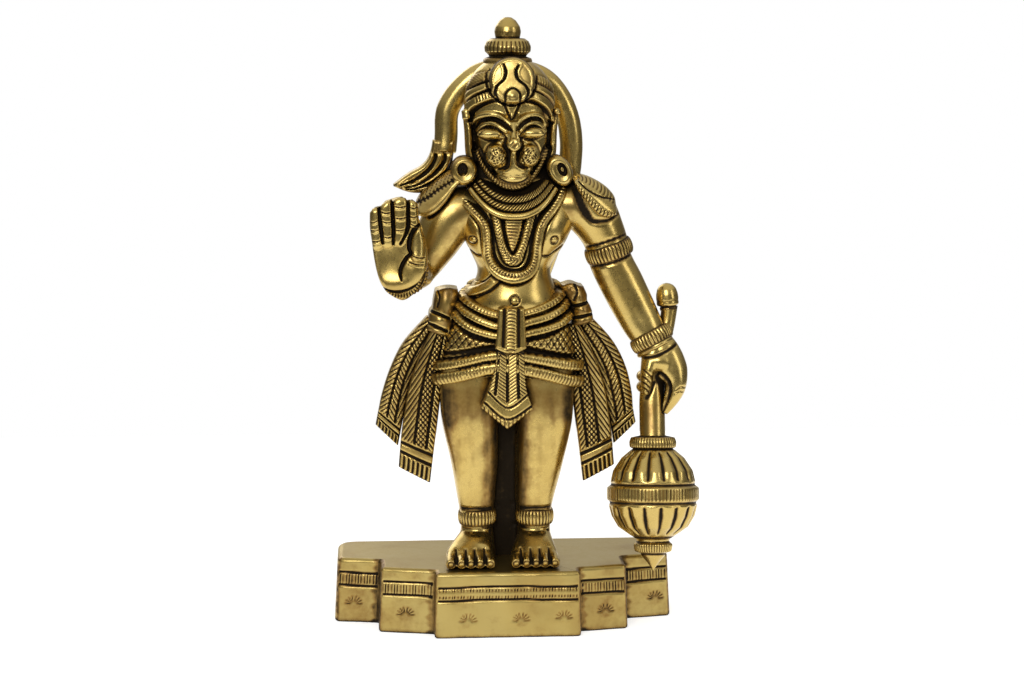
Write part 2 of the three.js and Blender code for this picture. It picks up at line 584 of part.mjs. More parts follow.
// The half outline, from the middle of the front to that of the back, and the grooves cut in its blocks.
function plinthHalf(side) {
  const blocks = plinthBlocks(side);
  const fronts = blocks.flatMap(([x0, x1, y0, y1]) => [[x0, y0], [x1, y1]]).slice(1);
  const edge = fronts[fronts.length - 1][0];
  const back = PLINTH_DEPTH / 2;
  const [c, d] = [CORNER_RADIUS, CORNER_RADIUS * 0.3];
  const outline = [...fronts, [edge, back - c], [edge - d, back - d], [edge - c, back]];
  const lean = PLINTH_HEIGHT * Math.tan(degrees(PLINTH_DRAFT_DEG));
  const margin = GROOVE_HEIGHT;
  const grooves = blocks.flatMap(([x0, x1, y0, y1]) => [0, 1].map((row) => {
    const top = PLINTH_HEIGHT - RIM_HEIGHT - row * BAND_HEIGHT;
    const start = x0 === 0 ? -margin : x0 + margin;
    return slab(1, 1, (u, v, front) => {
      const x = lerp(start, x1 - margin - lean, u);
      const y = lerp(y0, y1, (x - x0) / (x1 - x0));
      return new THREE.Vector3(side * x, y + (front ? -BAND_HEIGHT : GROOVE_DEPTH), top - v * GROOVE_HEIGHT);
    });
  }));
  return { outline: outline.map(([x, y]) => new THREE.Vector2(side * x, y)), grooves, edge };
}

// The outer blocks lean in by the draft as they rise.
function plinth() {
  const [left, right] = [1, -1].map(plinthHalf);
  const loop = new THREE.Shape([...left.outline, ...right.outline.reverse()]);
  const block = new THREE.ExtrudeGeometry(loop, { depth: PLINTH_HEIGHT, bevelEnabled: false });
  const slope = Math.tan(degrees(PLINTH_DRAFT_DEG));
  const drafted = reshape(block, (v) => {
    const outer = Math.abs(v.x) > left.edge / 3;
    return v.setX(v.x - (outer ? Math.sign(v.x) * v.z * slope : 0));
  });
  const cut = toSolid(drafted).subtract(join([...left.grooves, ...right.grooves]));
  const mesh = new THREE.Mesh(toGeometry(cut), BRASS);
  mesh.name = 'plinth';
  return mesh;
}

const statue = new THREE.Group();
statue.add(figure(), plinth());

export default statue;
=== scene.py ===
# %% [markdown]
# # A cast and engraved brass figure
# The real object is one brass casting on a stepped plinth. It was cast rough, then cut with a graver, rubbed
# with a dark patina and polished, so that the high places shine and every groove stays nearly black.
# The packed model is loaded first. It gives the fixed frame, the sizes and the place of each solid.

# %% Load the packed model
import math

import bpy
import numpy as np
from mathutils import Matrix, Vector


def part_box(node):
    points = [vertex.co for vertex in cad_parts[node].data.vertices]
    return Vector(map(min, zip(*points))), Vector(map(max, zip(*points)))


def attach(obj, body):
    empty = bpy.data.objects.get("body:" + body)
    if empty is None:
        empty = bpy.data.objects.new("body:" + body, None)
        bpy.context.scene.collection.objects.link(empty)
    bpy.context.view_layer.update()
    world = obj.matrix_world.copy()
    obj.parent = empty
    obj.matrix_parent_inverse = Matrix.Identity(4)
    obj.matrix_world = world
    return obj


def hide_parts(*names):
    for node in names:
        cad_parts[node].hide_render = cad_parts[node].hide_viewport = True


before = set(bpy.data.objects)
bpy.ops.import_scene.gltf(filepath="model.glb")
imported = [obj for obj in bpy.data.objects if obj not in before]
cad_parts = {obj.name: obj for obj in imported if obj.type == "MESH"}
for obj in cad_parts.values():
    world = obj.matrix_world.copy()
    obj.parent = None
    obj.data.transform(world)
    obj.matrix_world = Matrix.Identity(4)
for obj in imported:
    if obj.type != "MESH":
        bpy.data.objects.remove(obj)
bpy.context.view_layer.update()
bpy.ops.object.select_all(action="DESELECT")
MM = 0.001
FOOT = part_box("hanuman_figure")[0][2] / MM

# %% [markdown]
# The camera stands where the photographer stood: about 600 mm away, a little higher than the figure's head,
# and 3.5 degrees to the figure's right. The lens comes from how tall the figure is in the frame. A last small
# turn puts the figure at its place across the frame, so the camera needs no shift.

# %% Camera
AWAY, EYE_LEVEL = 0.6, 0.165
TO_ITS_RIGHT, LOOKING_DOWN = math.radians(3.5), math.radians(8.25)
PIXELS_ASIDE, PIXELS_OF_LENS = 6.2, 2212
camera = bpy.data.objects.new("camera", bpy.data.cameras.new("camera"))
bpy.context.collection.objects.link(camera)
camera.location = (-AWAY * math.sin(TO_ITS_RIGHT), -AWAY * math.cos(TO_ITS_RIGHT), EYE_LEVEL)
camera.rotation_euler = (math.pi / 2 - LOOKING_DOWN, 0, -TO_ITS_RIGHT - PIXELS_ASIDE / PIXELS_OF_LENS)
camera.data.lens = 77.77
camera.data.sensor_width = 36
camera.data.clip_start = 0.05
bpy.context.scene.camera = camera
print("camera", [round(v, 4) for v in camera.location])

# %% [markdown]
# Shader maths reads best as arithmetic. A small class wraps a socket, so that an expression on values adds
# its Math nodes by itself, and one method adds any other node.

# %% Shader arithmetic
class Value:
    def __init__(self, tree, socket):
        self.tree, self.socket = tree, socket

    def node(self, kind, settings, inputs):
        return add_node(self.tree, kind, settings, inputs)

    def math(self, operation, *others):
        inputs = {n: v for n, v in enumerate((self, *others))}
        return self.node("ShaderNodeMath", {"operation": operation}, inputs)

    def __add__(self, other):
        return self.math("ADD", other)

    def __radd__(self, other):
        return self.math("ADD", other)

    def __sub__(self, other):
        return self.math("SUBTRACT", other)

    def __rsub__(self, other):
        return self.node("ShaderNodeMath", {"operation": "SUBTRACT"}, {0: other, 1: self})

    def __mul__(self, other):
        return self.math("MULTIPLY", other)

    def __rmul__(self, other):
        return self.math("MULTIPLY", other)

    def clamp(self):
        return self.node("ShaderNodeClamp", None, {"Value": self, "Min": 0.0, "Max": 1.0})

    def step(self, low, high):
        return self.node("ShaderNodeMapRange", {"interpolation_type": "SMOOTHSTEP"},
                         {"Value": self, "From Min": low, "From Max": high})


def add_node(tree, kind, settings=None, inputs=None, out=0):
    """A node of any kind; an input is a number, a tuple or the Value that is linked to it."""
    node = tree.nodes.new(kind)
    for name, value in (settings or {}).items():
        setattr(node, name, value)
    for key, value in (inputs or {}).items():
        if isinstance(value, Value):
            tree.links.new(value.socket, node.inputs[key])
        else:
            node.inputs[key].default_value = value
    return Value(tree, node.outputs[out])


MIX_SHARE, MIX_ONE, MIX_OTHER, MIX_COLOUR = 0, 6, 7, 2


def mix(tree, share, one, other):
    """A blend of two colours, each a Value or three numbers."""
    one, other = (side if isinstance(side, Value) else (*side, 1.0) for side in (one, other))
    return add_node(tree, "ShaderNodeMix", {"data_type": "RGBA"},
                    {MIX_SHARE: share, MIX_ONE: one, MIX_OTHER: other}, out=MIX_COLOUR)


print("a socket can be asked for", [name for name in vars(Value) if not name.startswith("_")])

# %% [markdown]
# The brass is one metal with three states: polished high places, a brown film where the polish doesn't
# reach, and the near-black patina left in the grooves. A painted picture could carry these states, but an
# attribute on the mesh follows every stroke by itself. The carving below stores how deep each point lies in
# an attribute called hollow, and the corners between forms are found by ambient occlusion.

# %% Brass
BROWN_FILM = (0.270, 0.155, 0.040)
BLACK_PATINA = (0.016, 0.010, 0.004)
LESS_RUBBED = (0.96, 0.93, 0.84)
NARROW_CORNER, WIDE_CORNER = 0.0025, 0.012


def brass(name, shine, polished, cover=1.0):
    """One brass: its roughness, the colour of its high places, and how patchy its patina is."""
    material = bpy.data.materials.new(name)
    material.use_nodes = True
    tree = material.node_tree
    place = add_node(tree, "ShaderNodeTexCoord", out="Object")

    def noise(scale, detail):
        return add_node(tree, "ShaderNodeTexNoise", None,
                        {"Vector": place, "Scale": scale, "Detail": detail})

    def closed_in(distance):
        return 1 - add_node(tree, "ShaderNodeAmbientOcclusion", {"samples": 6},
                            {"Distance": distance}, out="AO")

    broad, cloudy, fine = noise(60.0, 3.0), noise(260.0, 4.0), noise(1100.0, 4.0)
    hollow = add_node(tree, "ShaderNodeAttribute", {"attribute_name": "hollow"}, out="Fac")
    corner = closed_in(NARROW_CORNER).step(0.30, 0.80) + closed_in(WIDE_CORNER).step(0.55, 1.0) * 0.4
    grime = (hollow * 0.95 + corner * 0.55 + (cloudy - 0.5) * 0.5 * cover + (fine - 0.5) * 0.25).clamp()
    black = grime.step(0.38, 0.82)
    film = (grime.step(0.05, 0.50) * 0.8 + (broad - 0.5).step(0.0, 0.22) * 0.26 * cover + 0.10).clamp()
    duller = tuple(part * share for part, share in zip(polished, LESS_RUBBED))
    bright = mix(tree, broad.step(0.35, 0.65), polished, duller)
    browned = mix(tree, film, bright, BROWN_FILM)
    rough = (shine + (fine - 0.5) * 0.14 + (cloudy - 0.5) * 0.12 + film * 0.08 + black * 0.32).clamp()
    bump = add_node(tree, "ShaderNodeBump", None,
                    {"Strength": 0.22, "Distance": 0.00006, "Height": fine * 0.6 + cloudy * 0.9})
    shader = tree.nodes["Principled BSDF"]
    for socket, value in (("Base Color", mix(tree, black, browned, BLACK_PATINA)),
                          ("Metallic", 1 - black * 0.2),
                          ("Roughness", rough),
                          ("Normal", bump),
                          ("Coat Weight", (1 - black) * 0.2)):
        tree.links.new(value.socket, shader.inputs[socket])
    shader.inputs["Coat Roughness"].default_value = 0.12
    return material


figure_brass = brass("figure_brass", 0.27, (0.64, 0.475, 0.155))
plinth_brass = brass("plinth_brass", 0.34, (0.49, 0.375, 0.125), cover=1.2)
for material in (figure_brass, plinth_brass):
    print(material.name, len(material.node_tree.nodes), "nodes")

# %% [markdown]
# All places are written in the figure's own millimetres, with z counted from 1.5 mm under its soles, as on
# the drawing that the packed model was made from. Outlines are given as a few points, as a maker marks them
# out, and a smooth curve is drawn through them.

# %% Points on smooth lines
SOLES = 1.5
DRAWN_FROM = FOOT - SOLES
FULL_TURN = 2 * math.pi


def smooth(points, count):
    """Points on a smooth curve through the given ones, evenly spread over its spans."""
    points = np.asarray(points, float)
    ends = np.vstack([2 * points[0] - points[1], points, 2 * points[-1] - points[-2]])
    t = np.linspace(0, len(points) - 1, count)
    i = np.minimum(t.astype(int), len(points) - 2)
    s = (t - i)[:, None]
    a, b, c, d = (ends[i + k] for k in range(4))
    return 0.5 * (2 * b + (c - a) * s + (2 * a - 5 * b + 4 * c - d) * s**2 + (3 * b - a - 3 * c + d) * s**3)


def walked_along(points):
    """How far each point lies from the first one, along the line through all of them."""
    return np.concatenate([[0], np.cumsum(np.linalg.norm(np.diff(points, axis=0), axis=1))])


def turns(around):
    """Angles evenly spread round a circle."""
    return np.arange(around) / around * FULL_TURN


print("places are counted from", round(DRAWN_FROM, 2), "mm above the floor")

# %% [markdown]
# Everything on the figure is a round or flat form drawn by rings of points. It could be sculpted by hand, but
# the engraving needs points at known places. A sphere primitive already has rings and closed ends, so each
# form starts as a sphere, and its rings are laid where the form needs them.

# %% Rings laid where they are needed
def corners_of(piece):
    flat = np.empty(len(piece.data.vertices) * 3)
    piece.data.vertices.foreach_get("co", flat)
    return flat.reshape(-1, 3)


def put(piece, spots):
    """Writes the points, which are in the figure's millimetres, into the piece's mesh."""
    spots = (np.asarray(spots, float) + (0, 0, DRAWN_FROM)) * MM
    piece.data.vertices.foreach_set("co", spots.ravel())
    piece.data.update()


def ink(piece, amounts):
    """Stores how much black each point holds, from 0 to 1."""
    layer = piece.data.attributes.get("hollow") or piece.data.attributes.new("hollow", "FLOAT", "POINT")
    layer.data.foreach_set("value", np.clip(amounts, 0, 1).astype(np.float32).ravel())


def finished(piece, name):
    """Names a form, turns its faces outwards and smooths its shading."""
    piece.name = piece.data.name = name
    bpy.ops.object.mode_set(mode="EDIT")
    bpy.ops.mesh.select_all(action="SELECT")
    bpy.ops.mesh.normals_make_consistent(inside=False)
    bpy.ops.mesh.select_all(action="DESELECT")
    bpy.ops.object.mode_set(mode="OBJECT")
    bpy.ops.object.shade_smooth()
    piece.select_set(False)
    return piece


def ringed(name, rings, hollow=None):
    """A closed form from rings [ring, point, xyz]; the end rings close on their middles."""
    count, around = rings.shape[:2]
    bpy.ops.mesh.primitive_uv_sphere_add(segments=around, ring_count=count + 1, radius=1)
    piece = bpy.context.object
    sphere = corners_of(piece)
    k = np.rint(np.arccos(np.clip(sphere[:, 2], -1, 1)) / math.pi * (count + 1)).astype(int)
    n = np.rint(np.arctan2(sphere[:, 1], sphere[:, 0]) / FULL_TURN * around).astype(int) % around
    spots = np.empty_like(sphere)
    between = (k > 0) & (k <= count)
    spots[between] = rings[k[between] - 1, n[between]]
    spots[k == 0] = rings[0].mean(axis=0)
    spots[k == count + 1] = rings[-1].mean(axis=0)
    put(piece, spots)
    if hollow is not None:
        amounts = np.zeros(len(sphere))
        amounts[between] = hollow[k[between] - 1, n[between]]
        ink(piece, amounts)
    return finished(piece, name)


print("meshes so far", [mesh.name for mesh in bpy.data.meshes])

# %% [markdown]
# The engraving is made as a carver makes it, stroke by stroke. It could be a bump in the material, but then
# it would be flat in the mesh and gone from the side. Every stroke is built from four soft shapes: a step, a
# peak, a dome and a row of ticks.

# %% Four soft shapes
def ease(value):
    """A soft step from 0 to 1."""
    value = np.clip(value, 0, 1)
    return value * value * (3 - 2 * value)


def peak(distance, half, power=2):
    """1 at no distance and near 0 beyond half; a high power gives steep walls."""
    return np.exp(-((distance / half) ** power))


def dome(share):
    """The height of a half circle at a share of its radius."""
    return np.sqrt(np.clip(1 - share**2, 0, 1))


def ticks(angle, power=1.5):
    """A row of soft cuts, one at each full turn of the angle."""
    return (0.5 + 0.5 * np.cos(angle)) ** power


print("a peak at half its width is", round(float(peak(0.5, 1.0)), 2), "and a dome is",
      round(float(dome(0.5)), 2))

# %% [markdown]
# A carved surface keeps two numbers for each of its points: how high it stands, and how much black is left
# on it. A stroke first asks how far every point is from its line. A point that lies lower than its
# neighbours is a hollow, which the polishing cloth doesn't reach, so it stays darker.

# %% Measure a surface
FAR = 99.0
BLUR_TIMES, DARK_AT_DEPTH = 3, 0.35


def blurred(field, times):
    for _ in range(times):
        field = (np.roll(field, 1, 1) + 2 * field + np.roll(field, -1, 1)) / 4
        padded = np.pad(field, ((1, 1), (0, 0)), "edge")
        field = (padded[:-2] + 2 * field + padded[2:]) / 4
    return field


class Surface:
    """Points seen from the front at x and z, with u and v as places of the form's own."""

    def __init__(self, x, z, u=None, v=None):
        self.x, self.z = (np.array(a, float) for a in np.broadcast_arrays(x, z))
        self.u, self.v = u, v
        self.rise = np.zeros(self.x.shape)
        self.black = np.zeros(self.x.shape)

    def measure(self, path, reach=4.0):
        """Distance from a path, way along it and side of it for every point, and the path's length."""
        line = smooth(path, len(path) * 4)
        low, high = line.min(axis=0) - reach, line.max(axis=0) + reach
        close = (self.x > low[0]) & (self.x < high[0]) & (self.z > low[1]) & (self.z < high[1])
        x, z = self.x[close], self.z[close]
        gap, along, side = np.full(x.shape, FAR), np.zeros(x.shape), np.ones(x.shape)
        walked = 0.0
        for start, end in zip(line[:-1], line[1:]):
            step = end - start
            length = max(math.hypot(*step), 1e-6)
            share = np.clip(((x - start[0]) * step[0] + (z - start[1]) * step[1]) / length**2, 0, 1)
            dx, dz = x - start[0] - share * step[0], z - start[1] - share * step[1]
            away = np.hypot(dx, dz)
            near = away < gap
            gap = np.where(near, away, gap)
            along = np.where(near, walked + share * length, along)
            side = np.where(near, np.sign(step[0] * dz - step[1] * dx), side)
            walked += length
        full = [np.full(self.x.shape, value) for value in (FAR, 0.0, 1.0)]
        for target, values in zip(full, (gap, along, side)):
            target[close] = values
        return (*full, walked)

    def stroke(self, path, width, reach=4.0):
        """Distance, way along, side and half width of a stroke, whose width is one number or a list."""
        gap, along, side, length = self.measure(path, reach)
        half = np.interp(along / length, np.linspace(0, 1, np.size(width)), np.atleast_1d(width)) / 2
        return gap, along, side, half

    def inside(self, corners):
        """1 inside a closed outline and 0 outside it."""
        corners = np.asarray(corners, float)
        hit = np.zeros(self.x.shape, bool)
        for (x0, z0), (x1, z1) in zip(corners, np.roll(corners, -1, axis=0)):
            if z0 != z1:
                crosses = (z0 > self.z) != (z1 > self.z)
                hit ^= crosses & (self.x < (x1 - x0) * (self.z - z0) / (z1 - z0) + x0)
        return hit.astype(float)

    def oval(self, x, z, rx, rz):
        return np.exp(-(((self.x - x) / rx) ** 2 + ((self.z - z) / rz) ** 2))

    def hollows(self):
        """How black each point is in the end; only a surface with rows can be blurred."""
        lost = (blurred(self.rise, BLUR_TIMES) - self.rise) / DARK_AT_DEPTH if self.rise.ndim == 2 else 0
        return np.clip(self.black, 0, 1) * 0.9 + lost


print("a path of 3 mm measures", round(Surface([0.0], [0.0]).measure([(0, 0), (3, 0)])[3], 2), "mm")

# %% [markdown]
# These are the graver's strokes. A cut is a groove. A band is a raised cord or hem with a dark groove at each
# side and ticks across it. A ridge and a swelling raise the metal softly, a stud is a small boss, a soft dark
# spot stands for brown film in some places and for painted shade in others, and lines are parallel scratches
# that fill an area.

# %% Carving strokes
MOAT_AT, MOAT_HALF = 0.32, 0.34


class Carving(Surface):
    def cut(self, path, width, depth, black):
        gap, _, _, half = self.stroke(path, width)
        mark = peak(gap, half, 4)
        self.rise -= depth * mark
        self.black += black * mark

    def cuts(self, paths, width, depth, black):
        for path in paths:
            self.cut(path, width, depth, black)

    def band(self, path, width, height, hatch=0.0, pitch=0.8, slant=0.0, moat=0.5, one_sided=False,
             fan=0.0, dark=0.75):
        """Hatch is the depth of the ticks; slant and fan lean them, one_sided keeps them to one side."""
        gap, along, side, half = self.stroke(path, width)
        body = ease((half - gap) / 0.3 + 0.5)
        top = height * (0.72 + 0.28 * dome(gap / (half + 0.1)))
        self.rise += (top - self.rise) * body
        self.black *= 1 - body
        if moat:
            groove = peak(gap - half - MOAT_AT, MOAT_HALF)
            self.rise -= moat * groove
            self.black += min(0.85, 1.7 * moat) * groove
        if hatch:
            wave = along + slant * gap * side + fan * gap
            tick = ticks(FULL_TURN * wave / pitch) * body
            if one_sided:
                tick *= ease((gap * side) / 0.3)
            self.rise -= hatch * tick
            self.black += dark * tick

    def ridge(self, path, width, height):
        gap, _, _, half = self.stroke(path, width, reach=8)
        self.rise += height * dome(gap / half)

    def swell(self, x, z, rx, rz, height):
        self.rise += height * self.oval(x, z, rx, rz)

    # A soft dark spot: brown film in some places, painted shade in others.
    def film_and_shade(self, x, z, rx, rz, amount):
        self.black += amount * self.oval(x, z, rx, rz)

    def stud(self, x, z, radius, height):
        away = np.hypot(self.x - x, self.z - z)
        self.rise += height * dome(away / radius)
        ring = peak(away - radius - 0.15, 0.24)
        self.rise -= 0.3 * ring
        self.black += 0.8 * ring

    def lines(self, area, pitch, depth, degrees, black, power=2):
        turn = math.radians(degrees)
        across = self.x * math.cos(turn) + self.z * math.sin(turn)
        tick = ticks(FULL_TURN * across / pitch, power) * area
        self.rise -= depth * tick
        self.black += black * tick


print("strokes:", [name for name in vars(Carving) if not name.startswith("_")])

# %% [markdown]
# A body form, such as the torso, is wrapped by rings one above another. Its strokes are carved before the
# rings are laid, so the relief is as fine as the rings, which lie closer together in front than behind.
# Where a ring goes round to the back, its strokes run on along their length.

# %% Body forms
FRONT_SHARE = 0.6


def shaped(values, power):
    """Bends a sine or a cosine, so that a ring becomes squarer or rounder."""
    return np.sign(values) * np.abs(values) ** power


def wrapped(name, stations, carve, around, per_mm, power=0.92):
    """Rings [z, x, y, half width, half depth] round an upright form."""
    stations = np.asarray(stations, float)
    rows = smooth(stations, int(np.ptp(stations[:, 0]) * per_mm))
    z, x, y, wide, deep = (rows[:, n:n + 1] for n in range(5))
    t = np.arange(around) / around * 2 - 1
    turn = math.pi * (FRONT_SHARE * t + (1 - FRONT_SHARE) * t**3)[None, :]
    across, back = wide * shaped(np.sin(turn), power), -deep * shaped(np.cos(turn), power)
    beyond = np.maximum(np.abs(turn) - math.pi / 2, 0) * np.sign(turn)
    seen = x + np.where(beyond == 0, across, wide * np.sign(turn)) + wide * beyond
    carving = Carving(seen, z)
    carve(carving)
    nx, ny = across / wide**2, back / deep**2
    size = np.hypot(nx, ny) + 1e-9
    rise = carving.rise
    points = [x + across + rise * nx / size, y + back + rise * ny / size, z + 0 * rise]
    return ringed(name, np.stack(points, axis=-1), carving.hollows())


print("half way to its side, a squarer ring is at", round(float(shaped(0.5, 0.92)), 2), "of its width")

# %% [markdown]
# A plate is a flat thing, such as a sash or a hand: two edges, a front that may be curved, and an even
# thickness. It could be a grid with Solidify, but a strip of rows that goes round the back closes itself.

# %% Plates
BACK_COLUMNS = 10
WALL_SHARES = np.array([0.15, 0.5, 0.85])[None, :, None]


def rounded(distance, rim):
    """How far a rounded rim falls back at a distance from the edge."""
    return 1 - np.sqrt(1 - (1 - np.clip(distance / rim, 0, 1)) ** 2 * 0.98)


def round_the_back(face, behind, back_columns, wall_shares=None):
    """Rows of a carved face, carried on round the back of a plate."""
    picked = np.linspace(face.shape[1] - 1, 0, back_columns).round().astype(int)
    back = behind[:, picked]
    if wall_shares is None:
        return np.concatenate([face, back], axis=1)
    wall = face[:, -1:] + (back[:, :1] - face[:, -1:]) * wall_shares
    other_wall = back[:, -1:] + (face[:, :1] - back[:, -1:]) * wall_shares
    return np.concatenate([face, wall, back, other_wall], axis=1)


def plate(name, left, right, front, thick, carve, cell, rim, drop=None, lift=None):
    """A flat piece between two edges [x, z], with its front at front(x, z, u, v) and a carved face."""
    left, right = np.asarray(left, float), np.asarray(right, float)
    long = np.linalg.norm(np.diff(left, axis=0), axis=1).sum()
    rows = max(int(long / cell), 8)
    edge_l, edge_r = smooth(left, rows), smooth(right, rows)
    width = np.linalg.norm(edge_r - edge_l, axis=1)
    columns = max(int(width.max() / cell), 8)
    u = np.linspace(0, 1, columns)[None, :] + np.zeros((rows, 1))
    v = np.linspace(0, 1, rows)[:, None] + np.zeros((1, columns))
    x = edge_l[:, :1] + (edge_r - edge_l)[:, :1] * u
    z = edge_l[:, 1:] + (edge_r - edge_l)[:, 1:] * u
    if drop is not None:
        z = z - drop(u) * v**2
    if lift is not None:
        z = z + lift(u) * (1 - v) ** 3
    carving = Carving(x, z, u, v)
    carve(carving)
    side = np.minimum(u, 1 - u) * width[:, None]
    end = np.minimum(v, 1 - v) * long
    base = front(x, z, u, v)
    near = base - carving.rise + rim * np.maximum(rounded(side, rim), rounded(end, rim))
    face = np.stack([x, near, z], axis=-1)
    behind = np.stack([x, base + thick, z], axis=-1)
    rings = round_the_back(face, behind, BACK_COLUMNS, WALL_SHARES)
    return ringed(name, rings, np.pad(carving.hollows(), ((0, 0), (0, rings.shape[1] - columns))))


print("half way across, a rounded rim falls back by", round(float(rounded(0.5, 1.0)), 2), "of its width")

# %% [markdown]
# A limb is a tube that follows a line in space, with its own width and depth at each station. Arms, legs, the
# tail and the armlets are all limbs. A curve with a bevel could make them too, but a curve's section is the
# same shape all along, and these are flatter in some places than in others.

# %% Limbs
def limb(name, stations, around=48, per_mm=1.4, power=1.0, facing=(0, -1, 0), carve=None):
    """Rings along a smooth line through stations [x, y, z, half width, half depth]."""
    stations = np.asarray(stations, float)
    length = np.linalg.norm(np.diff(stations[:, :3], axis=0), axis=1).sum()
    rows = smooth(stations, max(int(length * per_mm), 6))
    line = rows[:, :3]
    along = np.gradient(line, axis=0)
    along /= np.linalg.norm(along, axis=1)[:, None]
    facing = np.asarray(facing, float)
    deep = facing - along * (along @ facing)[:, None]
    deep /= np.linalg.norm(deep, axis=1)[:, None]
    wide = np.cross(deep, along)
    turn = turns(around)
    half_w, half_d = rows[:, 3:4], rows[:, 4:5]
    hollow = None
    if carve is not None:
        walked = walked_along(line)[:, None]
        carving = Carving(turn[None, :] * half_w.mean(), walked, u=turn[None, :] + 0 * walked,
                          v=walked / walked[-1] + 0 * turn[None, :])
        carve(carving)
        half_w, half_d = half_w + carving.rise, half_d + carving.rise
        hollow = carving.hollows()
    c, s = shaped(np.cos(turn), power)[None, :], shaped(np.sin(turn), power)[None, :]
    rings = line[:, None] + wide[:, None] * (c * half_w)[..., None] + deep[:, None] * (s * half_d)[..., None]
    return ringed(name, rings, hollow)


# %% [markdown]
# An egg is a ball with three half axes, for cheeks and palms. A turned form is what comes off a lathe, such
# as the mace's head, and its strokes are laid out by turn and height. Blender's Screw modifier could turn it
# too, but the strokes need every point's place first.

# %% Eggs and turned forms
def egg(name, at, half, around, rings):
    k = (np.arange(rings) + 1) / (rings + 1) * math.pi
    turn = turns(around)
    spots = np.stack([np.sin(k)[:, None] * np.cos(turn), np.sin(k)[:, None] * np.sin(turn),
                      np.repeat(np.cos(k)[:, None], around, 1)], axis=-1)
    return ringed(name, spots * half + at)


def turned(name, profile, at, axis, around, per_mm, carve):
    """A form turned from a profile [radius, height] about an axis that starts at a place."""
    profile = np.asarray(profile, float)
    walked = walked_along(profile)
    t = np.linspace(0, walked[-1], max(int(walked[-1] * per_mm), 12))
    radius, height = (np.interp(t, walked, profile[:, n]) for n in (0, 1))
    for _ in range(2):
        radius[1:-1] = (radius[:-2] + 2 * radius[1:-1] + radius[2:]) / 4
    turn = turns(around)
    carving = Carving(turn[None, :], height[:, None])
    carve(carving)
    size = np.maximum(radius[:, None] + carving.rise, 0.01)
    lean = np.array(Vector(axis).normalized().to_track_quat("Z", "Y").to_matrix())
    local = np.stack([size * np.cos(turn), size * np.sin(turn), height[:, None] + 0 * size], axis=-1)
    return ringed(name, local @ lean.T + np.asarray(at, float), carving.hollows())


print("forms:", [form.__name__ for form in (wrapped, plate, limb, egg, turned)])

# %% [markdown]
# Forms that meet are joined as wax would be: a voxel remesh puts one skin over all of them, and a smoothing
# softens the seams between them. Booleans would leave every seam sharp. The remesh forgets the strokes, so
# such a skin is engraved afterwards, point by point, on the side that faces the viewer.

# %% One skin, and its engraving
def join(pieces, name):
    bpy.ops.object.select_all(action="DESELECT")
    for piece in pieces:
        piece.select_set(True)
    bpy.context.view_layer.objects.active = pieces[0]
    bpy.ops.object.join()
    joined = bpy.context.object
    joined.name = joined.data.name = name
    return joined


def apply_modifier(piece, kind, **settings):
    bpy.context.view_layer.objects.active = piece
    modifier = piece.modifiers.new(kind.lower(), kind)
    for key, value in settings.items():
        setattr(modifier, key, value)
    bpy.ops.object.modifier_apply(modifier=modifier.name)


def one_skin(pieces, name, voxel, rounds):
    """One skin over all the forms; voxel is its cell in millimetres."""
    skin = join(list(pieces), name)
    apply_modifier(skin, "REMESH", mode="VOXEL", voxel_size=voxel * MM, use_smooth_shade=True)
    apply_modifier(skin, "SMOOTH", factor=0.5, iterations=rounds)
    bpy.ops.object.shade_smooth()
    skin.select_set(False)
    return skin


def engrave(piece, carve, facing=(0, -1, 0)):
    spots = corners_of(piece) / MM - (0, 0, DRAWN_FROM)
    normals = np.empty(len(spots) * 3)
    piece.data.vertex_normals.foreach_get("vector", normals)
    normals = normals.reshape(-1, 3)
    carving = Carving(spots[:, 0], spots[:, 2])
    carve(carving)
    weight = ease(normals @ np.asarray(facing, float) * 2.0)
    put(piece, spots + normals * (carving.rise * weight)[:, None])
    ink(piece, carving.hollows() * weight)
    return piece


PIECES = []


def keep(*pieces):
    """Lists finished pieces of the figure and prints what they are."""
    PIECES.extend(pieces)
    for piece in pieces:
        print(piece.name, len(piece.data.polygons), "faces")


# %% [markdown]
# The bare limbs are made first and joined as the wax of the casting would be, into one skin that softens
# every joint. The tail rises up the back and arches over the head, and a web of metal joins the legs.

